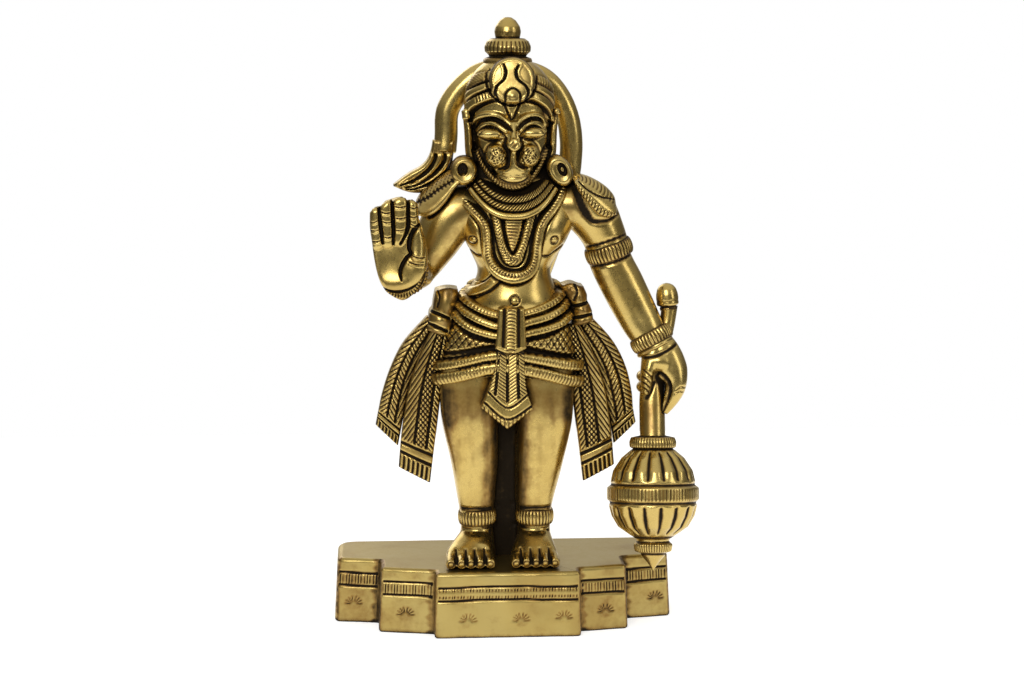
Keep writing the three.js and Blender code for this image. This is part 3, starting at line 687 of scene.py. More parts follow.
# %% Arms, legs, tail and the core of the body
def body_forms():
    yield limb("core", [[1.2, 0.9, 60, 13, 8.0], [1.8, 0.6, 73, 11.6, 8.6], [2.2, 0.5, 80, 9.2, 7.4],
                        [2.4, 0.5, 85, 10.2, 7.2], [2.8, 0.5, 90, 12.2, 7.6], [3.0, 0.5, 96, 14.6, 7.4],
                        [2.6, 0.7, 101, 14.2, 6.2], [2.0, 1.4, 106, 12.0, 5.2], [1.4, 2.2, 113, 9.6, 4.6]],
               around=64, power=0.92)
    for side, knee, ankle in ((-1, -10.0, -8.2), (1, 10.4, 7.7)):
        yield limb("leg", [[side * 9.8, 0, 56, 8.6, 9], [knee + side * 0.1, -0.4, 42, 7.8, 8.6],
                           [knee - side * 1.1, -0.8, 30, 6.6, 7.4], [ankle + side * 0.2, -1.1, 19, 5.2, 5.9],
                           [ankle, -1.2, 14.5, 4.7, 5.1], [ankle, -1.2, 9, 4.4, 4.7],
                           [ankle, -2, 4, 4.7, 5.4]],
                   around=72, power=0.68)
    yield limb("web", [[0.0, 2.2, 50, 5.0, 1.7], [-0.2, 2.2, 25, 5.0, 1.7], [-0.2, 2.2, 0.2, 5.0, 1.7]],
               around=24, power=0.6)
    yield limb("left_arm", [[12, 0.6, 99, 5.6, 5.6], [17, 0.4, 99, 6.4, 6.4], [22, 0.6, 98.2, 7.4, 6.8],
                            [26.8, 1, 90.6, 6.1, 6.0], [28.8, 1.2, 83.6, 5.9, 5.5],
                            [32.0, 0.6, 77, 6.0, 5.3], [35.7, -0.4, 69.6, 5.7, 4.9],
                            [38.5, -1.6, 64.2, 5.1, 4.5], [41.6, -3.0, 58.4, 3.4, 3.4]], around=64)
    yield limb("right_arm", [[-6, 0.6, 98.6, 5.6, 5.6], [-14, 0.2, 96.6, 7.2, 6.4],
                             [-19.2, 0.6, 88.8, 6.3, 6.4], [-24.0, 0.6, 81.2, 4.8, 5.6],
                             [-26.0, 0.6, 78.4, 3.2, 4]], around=64)
    yield limb("right_forearm", [[-24, 1.4, 81, 5.0, 5.0], [-26, -5, 81.4, 5.2, 5.0],
                                 [-27.8, -13.4, 82.6, 4.4, 4.2]],
               around=48, facing=(0, 0, 1))
    yield limb("tail", [[x, y, z, 3.2, 3.0] for x, y, z in (
        (3, 9, 58), (8, 9.4, 74), (13.6, 9, 90), (17.4, 8.4, 104), (18.3, 7.8, 111), (18.4, 7.4, 116),
        (17.5, 7, 122), (15.2, 6.6, 127.5), (11.8, 6.2, 131.8), (7.4, 5.8, 134.2), (0.6, 5.8, 135.2),
        (-6.2, 5.8, 134.2), (-10.6, 6, 131.3), (-14.0, 6.2, 127.3), (-15.7, 6.2, 123.4), (-15.9, 6.2, 118),
        (-16.3, 5.8, 112.8))], around=32)

# %% [markdown]
# Little is engraved on the bare limbs, and shade is painted into their colour: the web between the legs and
# the inner sides of the legs are painted nearly black, the outer sides of the legs are painted darker and
# browner, the tops of the thighs under the hem carry painted shadow with some brown film, and the neck behind
# the necklaces is painted dark. A dark line lies wherever a band or a plate meets the skin.

# %% Shades and lines on the limbs
# Soft dark spots: brown film on the right upper arm and the tail, painted shade under both shoulder plates,
# at the right elbow and under the armlet.
ARM_SHADES = ((-18, 91, 6, 8, 0.26), (-12.5, 97.5, 3, 5, 0.3), (-22.5, 84, 4, 4, 0.22),
              (-17.0, 132, 6, 5, 0.12), (18, 118, 2.4, 14, 0.2), (27, 80.5, 3.5, 2.5, 0.18),
              (16.8, 99, 2.4, 6, 0.4))
BAND_EDGES = (
    [(22.2, 87.5), (28.0, 89.5), (34.6, 91.6)], [(21.6, 81.7), (28.0, 83.2), (34.8, 85.6)],
    [(34.6, 60.4), (40.0, 63.8), (44.6, 66.6)], [(-13.6, 10.2), (-8.2, 9.6), (-2.8, 10.2)],
    [(2.2, 10.2), (7.6, 9.6), (13.0, 10.2)], [(-14.0, 16.0), (-8.2, 16.2), (-2.4, 16.0)],
    [(1.8, 16.1), (7.6, 16.3), (13.6, 16.1)])


def shade_legs(c):
    legs = ease((51 - c.z) / 2) * (c.z > -1)
    # Painted shade: the web between the legs and the inner sides of the legs are darkened nearly to black.
    away = np.abs(c.x + 0.2)
    web = 0.42 * ease((4.6 - away) / 2.6) + 0.46 * ease((8.2 - away - 0.5 * np.sin(0.7 * c.z)) / 3.6)
    c.black += web * legs
    # Painted shade on the outer sides of the legs, and an even darker tone over the whole of the legs.
    outer_sides = np.maximum(ease((c.x - 13.8) / 3.2), ease((-13.2 - c.x) / 3.2)) * ease((c.z - 24) / 10)
    c.black += 0.34 * outer_sides * legs + 0.10 * legs
    # Painted shadow on the tops of the thighs under the hem, with some brown film.
    under_hem = 45.2 - 0.45 * np.abs(c.x - 0.6) + 0.8 * np.sin(0.9 * c.x) + 0.4 * np.sin(2.3 * c.x + 1)
    c.black += 0.34 * ease((c.z - under_hem) / 3.0) * ease((62 - c.z) / 2)
    streaks = 0.5 + 0.5 * np.sin(1.7 * c.x + 0.8 * np.sin(0.15 * c.z))
    c.black += 0.10 * ease((streaks - 0.55) / 0.3) * legs
    c.black += 0.28 * ease((c.z - 1) / 1) * ease((15.5 - c.z) / 1.5)


def carve_limbs(c):
    shade_legs(c)
    # Painted shade: the neck behind the necklaces is darkened nearly to black.
    neck = ease((c.z - 101.5) / 1.5) * ease((113.5 - c.z) / 1) * ease((12.5 - np.abs(c.x - 1.5)) / 2)
    c.black += 1.1 * neck
    # Spots of brown film on the right upper arm and the tail, and of painted shade under both shoulder
    # plates, at the right elbow and under the armlet.
    for shade in ARM_SHADES:
        c.film_and_shade(*shade)
    c.cut([(18.4, 103.7), (20.3, 98.9), (22.2, 95.8), (23.9, 94.8), (27.2, 95.0), (30.4, 96.5)],
          (1.4, 2.4, 2.6, 1.6, 1.0, 0.8), 0.5, 1.1)
    c.cut([(-14.0, 105.2), (-14.8, 103.2), (-15.8, 101.2), (-17.4, 99.1), (-19.2, 97.3), (-20.9, 96.2)],
          1.1, 0.4, 1.1)
    c.cuts(BAND_EDGES, 0.9, 0.4, 1.1)


keep(engrave(one_skin(body_forms(), "limbs_and_tail", 0.56, rounds=5), carve_limbs))

# %% [markdown]
# The torso is a body form with its ornaments raised from it: a garland in a long U with a hatched inner
# side, a ribbon and a hanging cloth inside it, and a thread that crosses to the hip. The chest, the belly and
# the waist are soft swellings, laid before the ornaments so that these ride on them.

# %% Torso with the garland
TRUNK = [
    [66, 1.2, 0.5, 14, 9.5], [73, 1.8, 0, 12.8, 10.4], [80, 2.2, 0, 10.3, 9.0], [85, 2.4, 0, 11.4, 8.8],
    [90, 2.8, 0, 13.6, 9.2], [96, 3.0, 0, 16.0, 8.8], [101, 2.6, 0.2, 15.2, 7.4], [106, 2.0, 1.0, 12.8, 6.0],
    [111, 1.4, 2.0, 11.4, 4.8]]
GARLAND = [
    (-13.6, 105.0), (-13.1, 104.1), (-11.6, 101.2), (-9.1, 98.4), (-6.8, 95.8), (-5.6, 93.1), (-5.2, 88.8),
    (-5.0, 86.1), (-3.8, 83.2), (-1.6, 81.1), (1.6, 80.2), (4.6, 80.9), (6.4, 82.8), (7.4, 86.1),
    (7.6, 88.7), (8.4, 93.0), (9.6, 95.7), (11.8, 98.4), (13.6, 101.1), (14.8, 103.7), (15.2, 105.0)]
RIBBON = [(-3.1, 96.6), (-2.2, 91.5), (-1.2, 88), (0.2, 85.4), (1.3, 84.9), (2.5, 85.4), (3.7, 88),
          (4.8, 91.5), (6.1, 96.6)]


def carve_torso(c):
    # Painted shade: the top of the torso, behind the necklaces and under the head, is darkened.
    c.black += 0.85 * ease((c.z - 105.6) / 1.2) * ease((11.8 - np.abs(c.x - 1.4)) / 1.2)
    for x in (-7.4, 11.4):
        c.swell(x, 92.0, 5.0, 5.4, 1.0)
    c.swell(1.9, 74.4, 7.0, 5.0, 0.9)
    c.swell(-8.0, 82.5, 2.4, 3.4, -0.5)
    c.swell(12.2, 82.5, 2.4, 3.4, -0.5)
    c.cut([(-12.4, 88.6), (-9.6, 87.0), (-8, 85.9), (-6.3, 86)], 0.6, 0.35, 0.7)
    c.cut([(8.8, 85.9), (11.1, 85.7), (12.8, 86.9), (15, 88.4)], 0.6, 0.35, 0.7)
    for x in (-8.8, 12.3):
        c.stud(x, 90.1, 0.9, 0.45)
    c.stud(1.8, 74.1, 1.1, 0.3)
    c.band([(-1.6, 80.8), (-2.7, 80.2), (-4.8, 78.2), (-7, 76.9), (-10.2, 75.5), (-13.2, 74.6)], 2.2, 1.3)
    c.band([(1.6, 97.5), (1.5, 91.5), (1.2, 87.4)], (5.4, 4.4, 1.4), 0.9, hatch=0.3, pitch=0.85, moat=0.6)
    c.band(RIBBON, (2.3, 2.2, 2.0, 2.2, 3.2, 2.2, 2.0, 2.2, 2.3), 1.4, hatch=0.35, pitch=0.85, fan=0.9,
           moat=0.6)
    c.band(GARLAND, (2.0, 2.2, 2.3, 2.3, 3.3, 2.3, 2.3, 2.2, 2.0), 2.0, hatch=0.35, pitch=0.85,
           one_sided=True, moat=0.7)
    c.cut(GARLAND, 0.35, 0.15, 0.5)


keep(wrapped("torso", TRUNK, carve_torso, around=230, per_mm=4.0))

# %% [markdown]
# Three rows of necklace lie one under another from ear to ear. They stand well forward of the neck, so they
# are a plate of their own, with a rounded row for each and ticks cut across the upper two.

# %% Necklaces
NECKLACE_BACK = 30


def necklaces():
    rows, columns = 60, 250
    u, v = np.meshgrid(np.linspace(0, 1, columns), np.linspace(0, 1, rows))
    share = 2 * u - 1
    low, high = 102.4 - 6.7 * v, 106.6 - 3.0 * v
    x = 1.6 + share * (8.6 + 3.7 * v)
    z = low + (high - low) * np.abs(share) ** 2.4
    chest = -10.0 - 1.2 * v + (4.4 + 1.0 * v) * np.abs(share) ** 3.2
    row = np.minimum(v * 3, 2.999)
    across = np.abs(2 * (row % 1) - 1)
    groove = peak(1 - across, 0.26)
    length = np.cumsum(np.hypot(np.gradient(x, axis=1), np.gradient(z, axis=1)), axis=1)
    tick = ticks(FULL_TURN * (length + 0.4 * row) / 0.92) * (1 - groove)
    tick *= np.array([0.9, 1.0, 0.0])[row.astype(int)]
    carving = Carving(x, z)
    carving.rise = 0.9 * dome(across) - 0.4 * tick - 0.5 * groove
    carving.black = 1.1 * groove + 0.7 * tick + 0.25 * (row < 1)
    face = np.stack([x, chest - carving.rise, z], axis=-1)
    behind = np.stack([x, chest + 5.2, z], axis=-1)
    rings = round_the_back(face, behind, NECKLACE_BACK)
    return ringed("necklaces", rings, np.pad(carving.hollows(), ((0, 0), (0, NECKLACE_BACK))))


keep(necklaces())

# %% [markdown]
# The head is built from the forms that a carver blocks out: the round of the cap, the face, the muzzle with
# its two cheeks, the brows and the closed lids. Sculpting one ball would need a hand and an eye, while these
# forms can be moved one by one. They become one skin, so no seam shows between them.

# %% Forms of the head
def on_egg(at, half, x, z):
    inside = 1 - ((x - at[0]) / half[0]) ** 2 - ((z - at[2]) / half[2]) ** 2
    return at[1] - half[1] * math.sqrt(max(inside, 0.02))


CAP = ((0.9, 0.8, 127.0), (12.2, 10.9, 12.3))
FACE = ((1.45, -2.0, 117.4), (9.7, 9.6, 11.7))
BROWS = ([(0.9, 120.6), (-0.4, 122.0), (-2.6, 123.5), (-5.3, 123.8), (-7.7, 123.1), (-8.9, 121.6)],
         [(2.0, 120.8), (3.6, 122.6), (5.4, 123.4), (8.0, 123.5), (9.8, 122.2), (10.9, 120.6)])
LID_RIDGES = ([(-8.1, 119.2), (-6.5, 120.9), (-4.6, 121.5), (-2.7, 120.8), (-0.2, 119.2)],
              [(2.9, 119.5), (4.8, 121.3), (6.9, 121.6), (8.7, 120.9), (10.4, 119.1)])
BEARD = [(-8.1, 113.9), (-7.1, 111.4), (-6.1, 109.7), (-4.5, 107.6), (-2.6, 105.7), (-0.2, 104.6),
         (2.8, 104.6), (5.4, 105.7), (7.2, 107.8), (8.7, 110.0), (9.9, 112.0), (10.8, 114.2)]


def on_head(x, z):
    return min(on_egg(*CAP, x, z), on_egg(*FACE, x, z))


def along_head(name, points, radius, raise_by):
    stations = [[x, on_head(x, z) - raise_by, z, r, r] for (x, z), r in zip(points, radius)]
    return limb(name, stations, around=16, per_mm=3)


CHEEKS = (-3.0, 5.5)
CHEEK_HEIGHT = 113.0


def head_forms():
    yield egg("cap", *CAP, 80, 60)
    yield egg("face", *FACE, 80, 60)
    yield egg("muzzle", (1.5, -8.1, 110.4), (5.4, 4.2, 4.2), 48, 36)
    yield egg("chin", (1.6, -9.0, 107.3), (4.6, 4.1, 2.5), 40, 28)
    yield egg("temples", (1.2, 0.6, 117.5), (11.2, 4.2, 8.5), 48, 36)
    yield limb("neck", [[1.4, 2.0, 118, 9, 6], [1.4, 1.0, 108, 8.4, 6.6], [1.5, 0.6, 101, 9, 6.8]])
    for x in CHEEKS:
        yield egg("cheek", (x, -10.0, CHEEK_HEIGHT), (3.0, 3.6, 3.2), 40, 28)
    for x, z in ((-4.6, 118.7), (6.4, 119.0)):
        yield egg("lid", (x, on_head(x, z) - 0.3, z), (3.6, 2.2, 1.5), 40, 28)
    yield limb("nose", [[1.4, -10.9, 121.8, 1.0, 0.9], [1.3, -12.0, 119.4, 0.8, 1.0],
                        [1.3, -12.8, 117.6, 0.9, 1.1], [1.35, -13.9, 116.0, 2.0, 1.4],
                        [1.3, -13.2, 114.6, 0.9, 1.1], [1.2, -12.9, 112.8, 0.75, 1.1],
                        [1.25, -12.8, 111.2, 0.9, 1.0], [1.4, -12.5, 109.8, 2.2, 1.1],
                        [1.45, -12.2, 108.6, 3.5, 1.0]],
               around=28, per_mm=4)
    for points in BROWS:
        yield along_head("brow", points, (0.6, 0.8, 0.9, 0.9, 0.8, 0.6), 0.1)
    for points in LID_RIDGES:
        yield along_head("lid_ridge", points, (0.5, 0.75, 0.75, 0.75, 0.5), 0.5)
    yield limb("beard", [[x, -9.2 + 5.4 * abs((x - 1.3) / 9.5) ** 1.6, z, 0.9, 1.4] for x, z in BEARD],
               around=20, per_mm=3)
    for side, x in ((-1, -9.9), (1, 12.4)):
        yield limb("ear", [[x + side * 0.9, -0.6, 124.5, 1.0, 3.2], [x + side * 0.2, -0.9, 119, 1.2, 3.4],
                           [x - side * 0.1, -1.2, 114, 1.3, 3.4], [x - side * 0.9, -1.6, 110.6, 1.6, 3.0]],
                   around=32, per_mm=2)


print("the front of the cap is at", round(on_egg(*CAP, *CAP[0][::2]), 1), "mm")

# %% [markdown]
# The cap is bound with three bands, one above another, and the lowest has a row of small ticks under it. A
# ring is cut where the crest will sit, with a point on the forehead below it.

# %% Cap
def carve_cap(c):
    for path in ([(-11.8, 129.8), (-9.2, 132.2), (-6.9, 133.2), (-4.4, 133.8)],
                 [(6.4, 133.2), (9.7, 131.8), (12.3, 129.6), (13.4, 127.0)]):
        c.band(path, 2.5, 0.9, hatch=0.15, slant=0.7, moat=0.2, dark=0.3)
    for path in ([(-11.8, 126.9), (-9.4, 129.2), (-6.6, 130.7), (-4.6, 131.4)],
                 [(6.8, 131.0), (9.7, 129.6), (12.1, 127.4), (13.4, 124.4)]):
        c.band(path, 1.7, 0.9, moat=0.4)
    for path in ([(-11.0, 123.2), (-10.6, 124.8), (-9.6, 126.2), (-7.4, 127.7), (-4.5, 128.9),
                  (-3.0, 129.2)],
                 [(5.0, 129.1), (7.3, 128.5), (9.8, 127.0), (11.2, 124.9), (11.8, 122.6)]):
        c.band(path, 2.1, 0.9, moat=0.4)
    for n in range(7):
        x, z = -7.9 + 0.72 * n, 127.6 + 0.36 * n
        c.cut([(x - 0.1, z + 0.8), (x, z), (x + 0.15, z - 0.8)], 0.3, 0.25, 0.55)
    c.cut([(-9.8, 121.4), (-9.6, 123.3), (-8.6, 125.0), (-6.9, 126.2), (-4.5, 127.1), (-3.0, 127.4)],
          (0.5, 0.9, 1.1, 0.9, 0.6, 0.4), 0.8, 1.1)
    c.cut([(5.0, 127.2), (7.2, 126.8), (9.5, 125.6), (10.9, 123.6), (11.6, 121.0)],
          (0.5, 0.7, 0.7, 0.6, 0.4), 0.8, 1.1)
    ring = [(1.05 + 6.5 * math.sin(a), 132.9 - 6.6 * math.cos(a)) for a in np.linspace(-2.0, 2.0, 15)]
    c.cut(ring, 0.5, 0.8, 1.1)
    c.cut([(-1.2, 127.0), (-0.7, 125.6), (0.1, 123.9), (1.0, 122.7), (2.1, 124.2), (2.8, 125.8),
           (3.1, 127.0)],
          (0.6, 0.7, 0.7, 0.6, 0.7, 0.7, 0.6), 0.7, 1.1)


# %% [markdown]
# The eyes are closed. A groove follows the hollow under each brow, and two finer ones draw the upper and the
# lower edge of each lid.

# %% Eyes
UNDER_BROWS = (
    [(0.8, 119.6), (-0.4, 120.9), (-2.4, 122.2), (-4.6, 122.7), (-6.8, 122.0), (-8.2, 120.0)],
    [(2.4, 119.6), (3.8, 121.4), (5.8, 122.5), (8.0, 122.6), (9.4, 121.3), (10.3, 119.8)])
LID_TOPS = (
    [(-8.2, 118.3), (-6.4, 120.1), (-4.6, 120.6), (-2.6, 119.9), (-0.6, 117.8)],
    [(2.8, 118.2), (4.9, 120.2), (6.8, 120.8), (8.7, 120.0), (10.3, 118.2)])
LID_FEET = (
    [(-8.0, 118.0), (-6.4, 117.2), (-4.6, 116.8), (-2.9, 117.0), (-1.2, 117.6)],
    [(3.0, 118.0), (4.7, 117.3), (6.4, 117.1), (8.2, 117.5), (10.0, 118.3)])


def carve_eyes(c):
    c.cuts(UNDER_BROWS, (0.5, 0.8, 0.95, 0.95, 0.8, 0.5), 0.7, 1.1)
    for top, foot_line in zip(LID_TOPS, LID_FEET):
        c.cut(top, (0.3, 0.5, 0.55, 0.5, 0.4), 0.5, 1.1)
        c.cut(foot_line, (0.4, 0.6, 0.65, 0.6, 0.4), 0.5, 1.1)


print("lines round the eyes:", len(UNDER_BROWS + LID_TOPS + LID_FEET))

# %% [markdown]
# Two deep lines run from the eyes down beside the nose and under the cheeks, and two fainter ones go round
# the outside of the cheeks. The tip of the nose is a small diamond, and the cheeks are dotted all over with
# a punch.

# %% Muzzle and cheeks
BESIDE_NOSE = (
    [(-0.6, 117.6), (-1.0, 116.0), (0.1, 113.9), (0.15, 111.5), (-0.9, 109.9), (-2.9, 109.2)],
    [(3.4, 117.6), (3.6, 116.0), (2.5, 113.9), (2.2, 111.6), (3.4, 110.3), (5.4, 109.5)])
ROUND_CHEEKS = (
    [(-3.4, 116.9), (-5.3, 115.6), (-6.2, 113.2), (-5.6, 110.8), (-4.0, 109.6)],
    [(6.2, 117.2), (8.0, 115.6), (8.8, 113.2), (8.2, 110.9), (6.8, 109.8)])
NOSE_DIAMOND = [(-0.1, 116.0), (0.5, 116.7), (1.35, 117.4), (2.2, 116.7), (2.8, 116.0), (2.2, 115.3),
                (1.35, 114.7), (0.5, 115.3), (-0.1, 116.0)]


def dot_cheek(c, x):
    away = np.hypot(c.x - x, (c.z - CHEEK_HEIGHT) * 0.9)
    dots = np.cos(c.x * 4.6 + 1.6 * np.sin(c.z * 2.0)) * np.cos(c.z * 4.4 + 1.6 * np.sin(c.x * 1.8))
    dots = ease(dots / 0.35) * ease((2.5 - away) / 0.4)
    c.rise -= 0.3 * dots
    c.black += 1.1 * dots


def carve_muzzle(c):
    c.cuts(BESIDE_NOSE, (0.7, 1.1, 0.9, 1.1, 0.9, 0.5), 0.8, 1.1)
    c.cuts(ROUND_CHEEKS, (0.3, 0.55, 0.6, 0.5, 0.3), 0.35, 0.95)
    c.ridge(NOSE_DIAMOND, 0.8, 0.3)
    for x in CHEEKS:
        dot_cheek(c, x)
    c.cut([(-2.2, 107.7), (0.0, 107.4), (1.6, 107.4), (3.4, 107.4), (5.2, 107.8)],
          (0.3, 0.5, 0.5, 0.5, 0.3), 0.4, 0.55)
    c.film_and_shade(1.35, 116.0, 0.7, 0.7, 0.75)
    c.black -= 0.14 * ease((c.z - 107) / 1.5) * ease((128 - c.z) / 2) * ease((9.5 - np.abs(c.x - 1.2)) / 1.5)


# %% [markdown]
# A short beard frames the jaw as a hatched band. Below it the throat is nearly black, with a speckle of small
# bright beads, and dark lines part the face from the ears.

# %% Beard, throat and ears
# Soft dark spots of painted shade: at the root of the nose, under the nose, beside both ears, and on the cap
# under the tail.
HEAD_SHADES = ((1.4, 119.4, 1.2, 2.0, 0.3), (1.6, 109.6, 1.2, 0.8, 0.3), (-9.5, 117, 2.0, 5, 0.3),
               (12.4, 117, 2.0, 5, 0.3), (-8, 134, 5, 4, 0.2))


def carve_throat(c):
    c.band(BEARD, 1.3, 0.2, hatch=0.35, pitch=0.85, slant=0.5, moat=0.6, dark=0.5)
    c.black += 0.3 * ease((1.4 - c.measure(BEARD)[0]) / 0.4)
    jaw = np.interp(c.x, [x for x, _ in BEARD], [z for _, z in BEARD])
    throat = ease((jaw - 1.2 - c.z) / 0.5)
    speckle = ease(np.cos(c.x * 5.1 + np.sin(c.z * 3.1)) * np.cos(c.z * 5.5 + np.sin(c.x * 2.3)) * 2)
    c.black += throat * (1.05 - 0.5 * speckle)
    c.rise += 0.25 * speckle * throat


def carve_head(c):
    carve_cap(c)
    carve_eyes(c)
    carve_muzzle(c)
    carve_throat(c)
    for x in (-8.9, 11.2):
        c.cut([(x, 120.6), (x, 116.3), (x + 0.2, 112.0)], 0.6, 0.3, 1.0)
    # Painted shade in the creases of the face, beside the ears and under the tail.
    for shade in HEAD_SHADES:
        c.film_and_shade(*shade)


keep(engrave(one_skin(head_forms(), "head", 0.28, rounds=3), carve_head))

# %% [markdown]
# The finial is turned: a flange, a ring ribbed by a graver, and a bud. One profile gives all three, with the
# small steps between them, where stacked cylinders would leave these out.

# %% Finial
FINIAL = [[0.2, -0.6], [6.5, -0.4], [6.7, 0.3], [6.4, 1.1], [4.9, 1.6], [5.4, 2.2], [6.2, 2.9], [6.3, 4.2],
          [5.7, 5.6], [4.6, 6.4], [3.2, 6.5], [3.4, 7.0], [3.6, 8.2], [3.3, 9.6], [2.2, 11.2], [1.0, 12.0],
          [0.1, 12.1]]


def carve_finial(c):
    rib = ticks(c.x * 30)
    ring = ease((c.z - 2.2) / 0.5) * ease((6.0 - c.z) / 0.5)
    c.rise -= 0.18 * rib * ring
    c.black += 0.55 * rib * ring + 0.9 * peak(c.z - 6.6, 0.3) + 0.8 * peak(c.z - 1.7, 0.5)
    c.black += 0.3 * ease((1.6 - c.z) / 0.4) + 0.1
    bud = ease((c.z - 7.0) / 0.5) * ease((9.4 - c.z) / 1.2)
    c.black += 0.35 * ticks(c.x * 28, 1) * bud


keep(turned("finial", FINIAL, (0.6, 1.4, 137.4), (0, 0, 1), around=120, per_mm=5, carve=carve_finial))

# %% [markdown]
# The crest over the forehead is a domed disc with two flame-like lines and a small dome at its foot. A disc
# is made as rings from its middle outwards and round to its back, so that its front can be carved too.

# %% Crest
def disc(name, at, radius, height, thick, carve, tilt=(0, 0), rings=44, around=150, skew=0.0):
    """A disc facing the viewer, from its middle to its rim and round to its back."""
    share = np.concatenate([np.linspace(0.02, 1, rings), np.linspace(1, 0.1, 5)])[:, None]
    turn = turns(around)
    z = at[2] + radius[1] * share * np.sin(turn)
    x = at[0] + radius[0] * share * np.cos(turn) + skew * (z - at[2])
    carving = Carving(x, z)
    carve(carving)
    front = (np.arange(len(share)) < rings)[:, None]
    bulge = height * np.clip(1 - share**6, 0, 1) ** 0.35
    y = at[1] + (x - at[0]) * tilt[0] + (z - at[2]) * tilt[1]
    y = np.where(front, y - bulge - carving.rise, y + thick)
    return ringed(name, np.stack([x, y, z], axis=-1), np.where(front, carving.hollows(), 0))


CREST = (1.05, -11.0, 132.9)
CREST_HALF = (6.05, 6.2)
FLAMES = ([(-1.3, 137.2), (-0.75, 135.3), (-1.2, 133.3), (-3.0, 131.6), (-3.6, 129.7), (-2.7, 127.8)],
          [(2.7, 137.0), (1.9, 135.2), (2.4, 133.3), (4.4, 131.6), (5.2, 129.7), (4.4, 127.8)])
ARCH = [(-0.9, 127.2), (-0.9, 129.3), (0.0, 130.5), (1.05, 130.9), (2.1, 130.5), (3.0, 129.3), (3.0, 127.2)]


def carve_crest(c):
    for path in FLAMES:
        c.cut(path, (0.4, 0.75, 0.65, 0.6, 0.8, 0.6), 0.7, 1.1)
        c.ridge([(x + (0.75 if x > 1 else -0.75), z) for x, z in path], 0.7, 0.15)
    c.cut(ARCH, (0.6, 0.6, 0.5, 0.6, 0.6), 0.5, 1.1)
    c.swell(1.05, 128.8, 1.2, 1.3, 0.5)
    edge = np.hypot((c.x - CREST[0]) / CREST_HALF[0], (c.z - CREST[2]) / CREST_HALF[1])
    c.black += 0.8 * ease((edge - 0.95) / 0.05) + 0.22
    c.rise += 0.2 * peak(edge - 0.88, 0.06)


keep(disc("crest", CREST, CREST_HALF, 1.9, 5.0, carve_crest, tilt=(-0.03, 0.14)))

# %% [markdown]
# Each earring is a thick disc with a round opening off its middle and a bead in the opening. The opening is
# sunk and blackened, not pierced, as in the casting.

# %% Earrings
def earring(name, x, z, half, hole, bead, skew=0.0):
    """The hole is its middle and its two half widths, and the bead is a share of it."""
    def carve(c):
        px, pz = c.x - skew * (c.z - z), c.z
        from_hole = np.hypot((px - hole[0]) / hole[2], (pz - hole[1]) / hole[3])
        away = np.hypot((px - x) / half[0], (pz - z) / half[1])
        opening = ease((1 - from_hole) / 0.25)
        dot = ease((bead - from_hole) / 0.2)
        c.rise += -1.1 * opening * (1 - dot) + 0.4 * peak(away - 0.72, 0.2)
        c.black += 1.1 * opening * (1 - dot) + 0.7 * ease((away - 0.95) / 0.05) + 0.2
    return disc(name, (x, -4.4, z), half, 2.4, 4.0, carve, rings=30, around=90, skew=skew)


keep(earring("right_earring", -11.5, 108.7, (3.6, 3.95), (-12.0, 109.1, 1.5, 1.9), bead=0.15),
     earring("left_earring", 14.2, 108.6, (3.5, 4.25), (14.9, 109.0, 1.4, 1.9), skew=-0.26, bead=0.45))

# %% [markdown]
# A leaf-shaped plate lies on each shoulder, split by a spine. The left one has scales above its spine and
# rays below it, and the right one is stippled above a row of teeth. The edges are a few points each, spread
# evenly so that the cells of the plate are even too.

# %% Shoulder plates
def spread(points, count):
    """Evenly spread points along an outline."""
    line = smooth(points, 80)
    walked = walked_along(line)
    t = np.linspace(0, walked[-1], count)
    return [(np.interp(a, walked, line[:, 0]), np.interp(a, walked, line[:, 1])) for a in t]


LEFT_TOP = [(17.8, 106.6), (20.4, 107.3), (23.1, 106.4), (25.8, 105.0), (27.9, 103.3), (29.5, 101.3),
            (30.1, 98.8)]
LEFT_LOW = [(18.1, 105.4), (19.3, 103.0), (21.0, 100.7), (22.9, 98.4), (24.6, 96.7), (26.4, 95.9),
            (28.6, 95.9), (29.8, 96.6)]
LEFT_SPINE = [(19.3, 105.7), (21.1, 103.9), (23.4, 102.4), (25.7, 101.4), (27.6, 101.0), (29.2, 100.6)]
RIGHT_TOP = [(-12.0, 110.2), (-15.0, 108.6), (-18.6, 106.0), (-21.7, 103.4), (-23.4, 101.6), (-24.3, 99.9)]
RIGHT_LOW = [(-10.6, 106.6), (-13.6, 104.4), (-15.4, 101.8), (-17.3, 99.3), (-19.1, 97.5), (-21.2, 96.4),
             (-23.8, 96.5)]
RIGHT_SPINE = [(-14.8, 106.0), (-18.7, 103.4), (-21.2, 101.5), (-24.4, 99.8)]


def carve_left_plate(c):
    bow = 0.55 * np.sin(math.pi * np.clip(c.u / 0.42, 0, 1))
    scale = ticks(FULL_TURN * (c.v * 15 / 1.1 - bow), 2)
    scale = scale * ease((0.36 - c.u) / 0.05) * ease((c.u - 0.03) / 0.04)
    ray = ticks(FULL_TURN * c.v * 15, 2) * ease((c.u - 0.66) / 0.08) * ease((0.97 - c.u) / 0.03)
    c.rise -= 0.25 * scale + 0.3 * ray
    c.black += 0.55 * scale + 0.6 * ray
    c.cut(LEFT_SPINE, (0.5, 0.6, 0.6, 0.6, 0.4), 0.4, 1.0)
    for n in range(7):
        c.film_and_shade(23.6 + 0.85 * n, 101.9 - 0.22 * n - (0.5 if n > 1 else 0.1), 0.28, 0.28, 0.6)


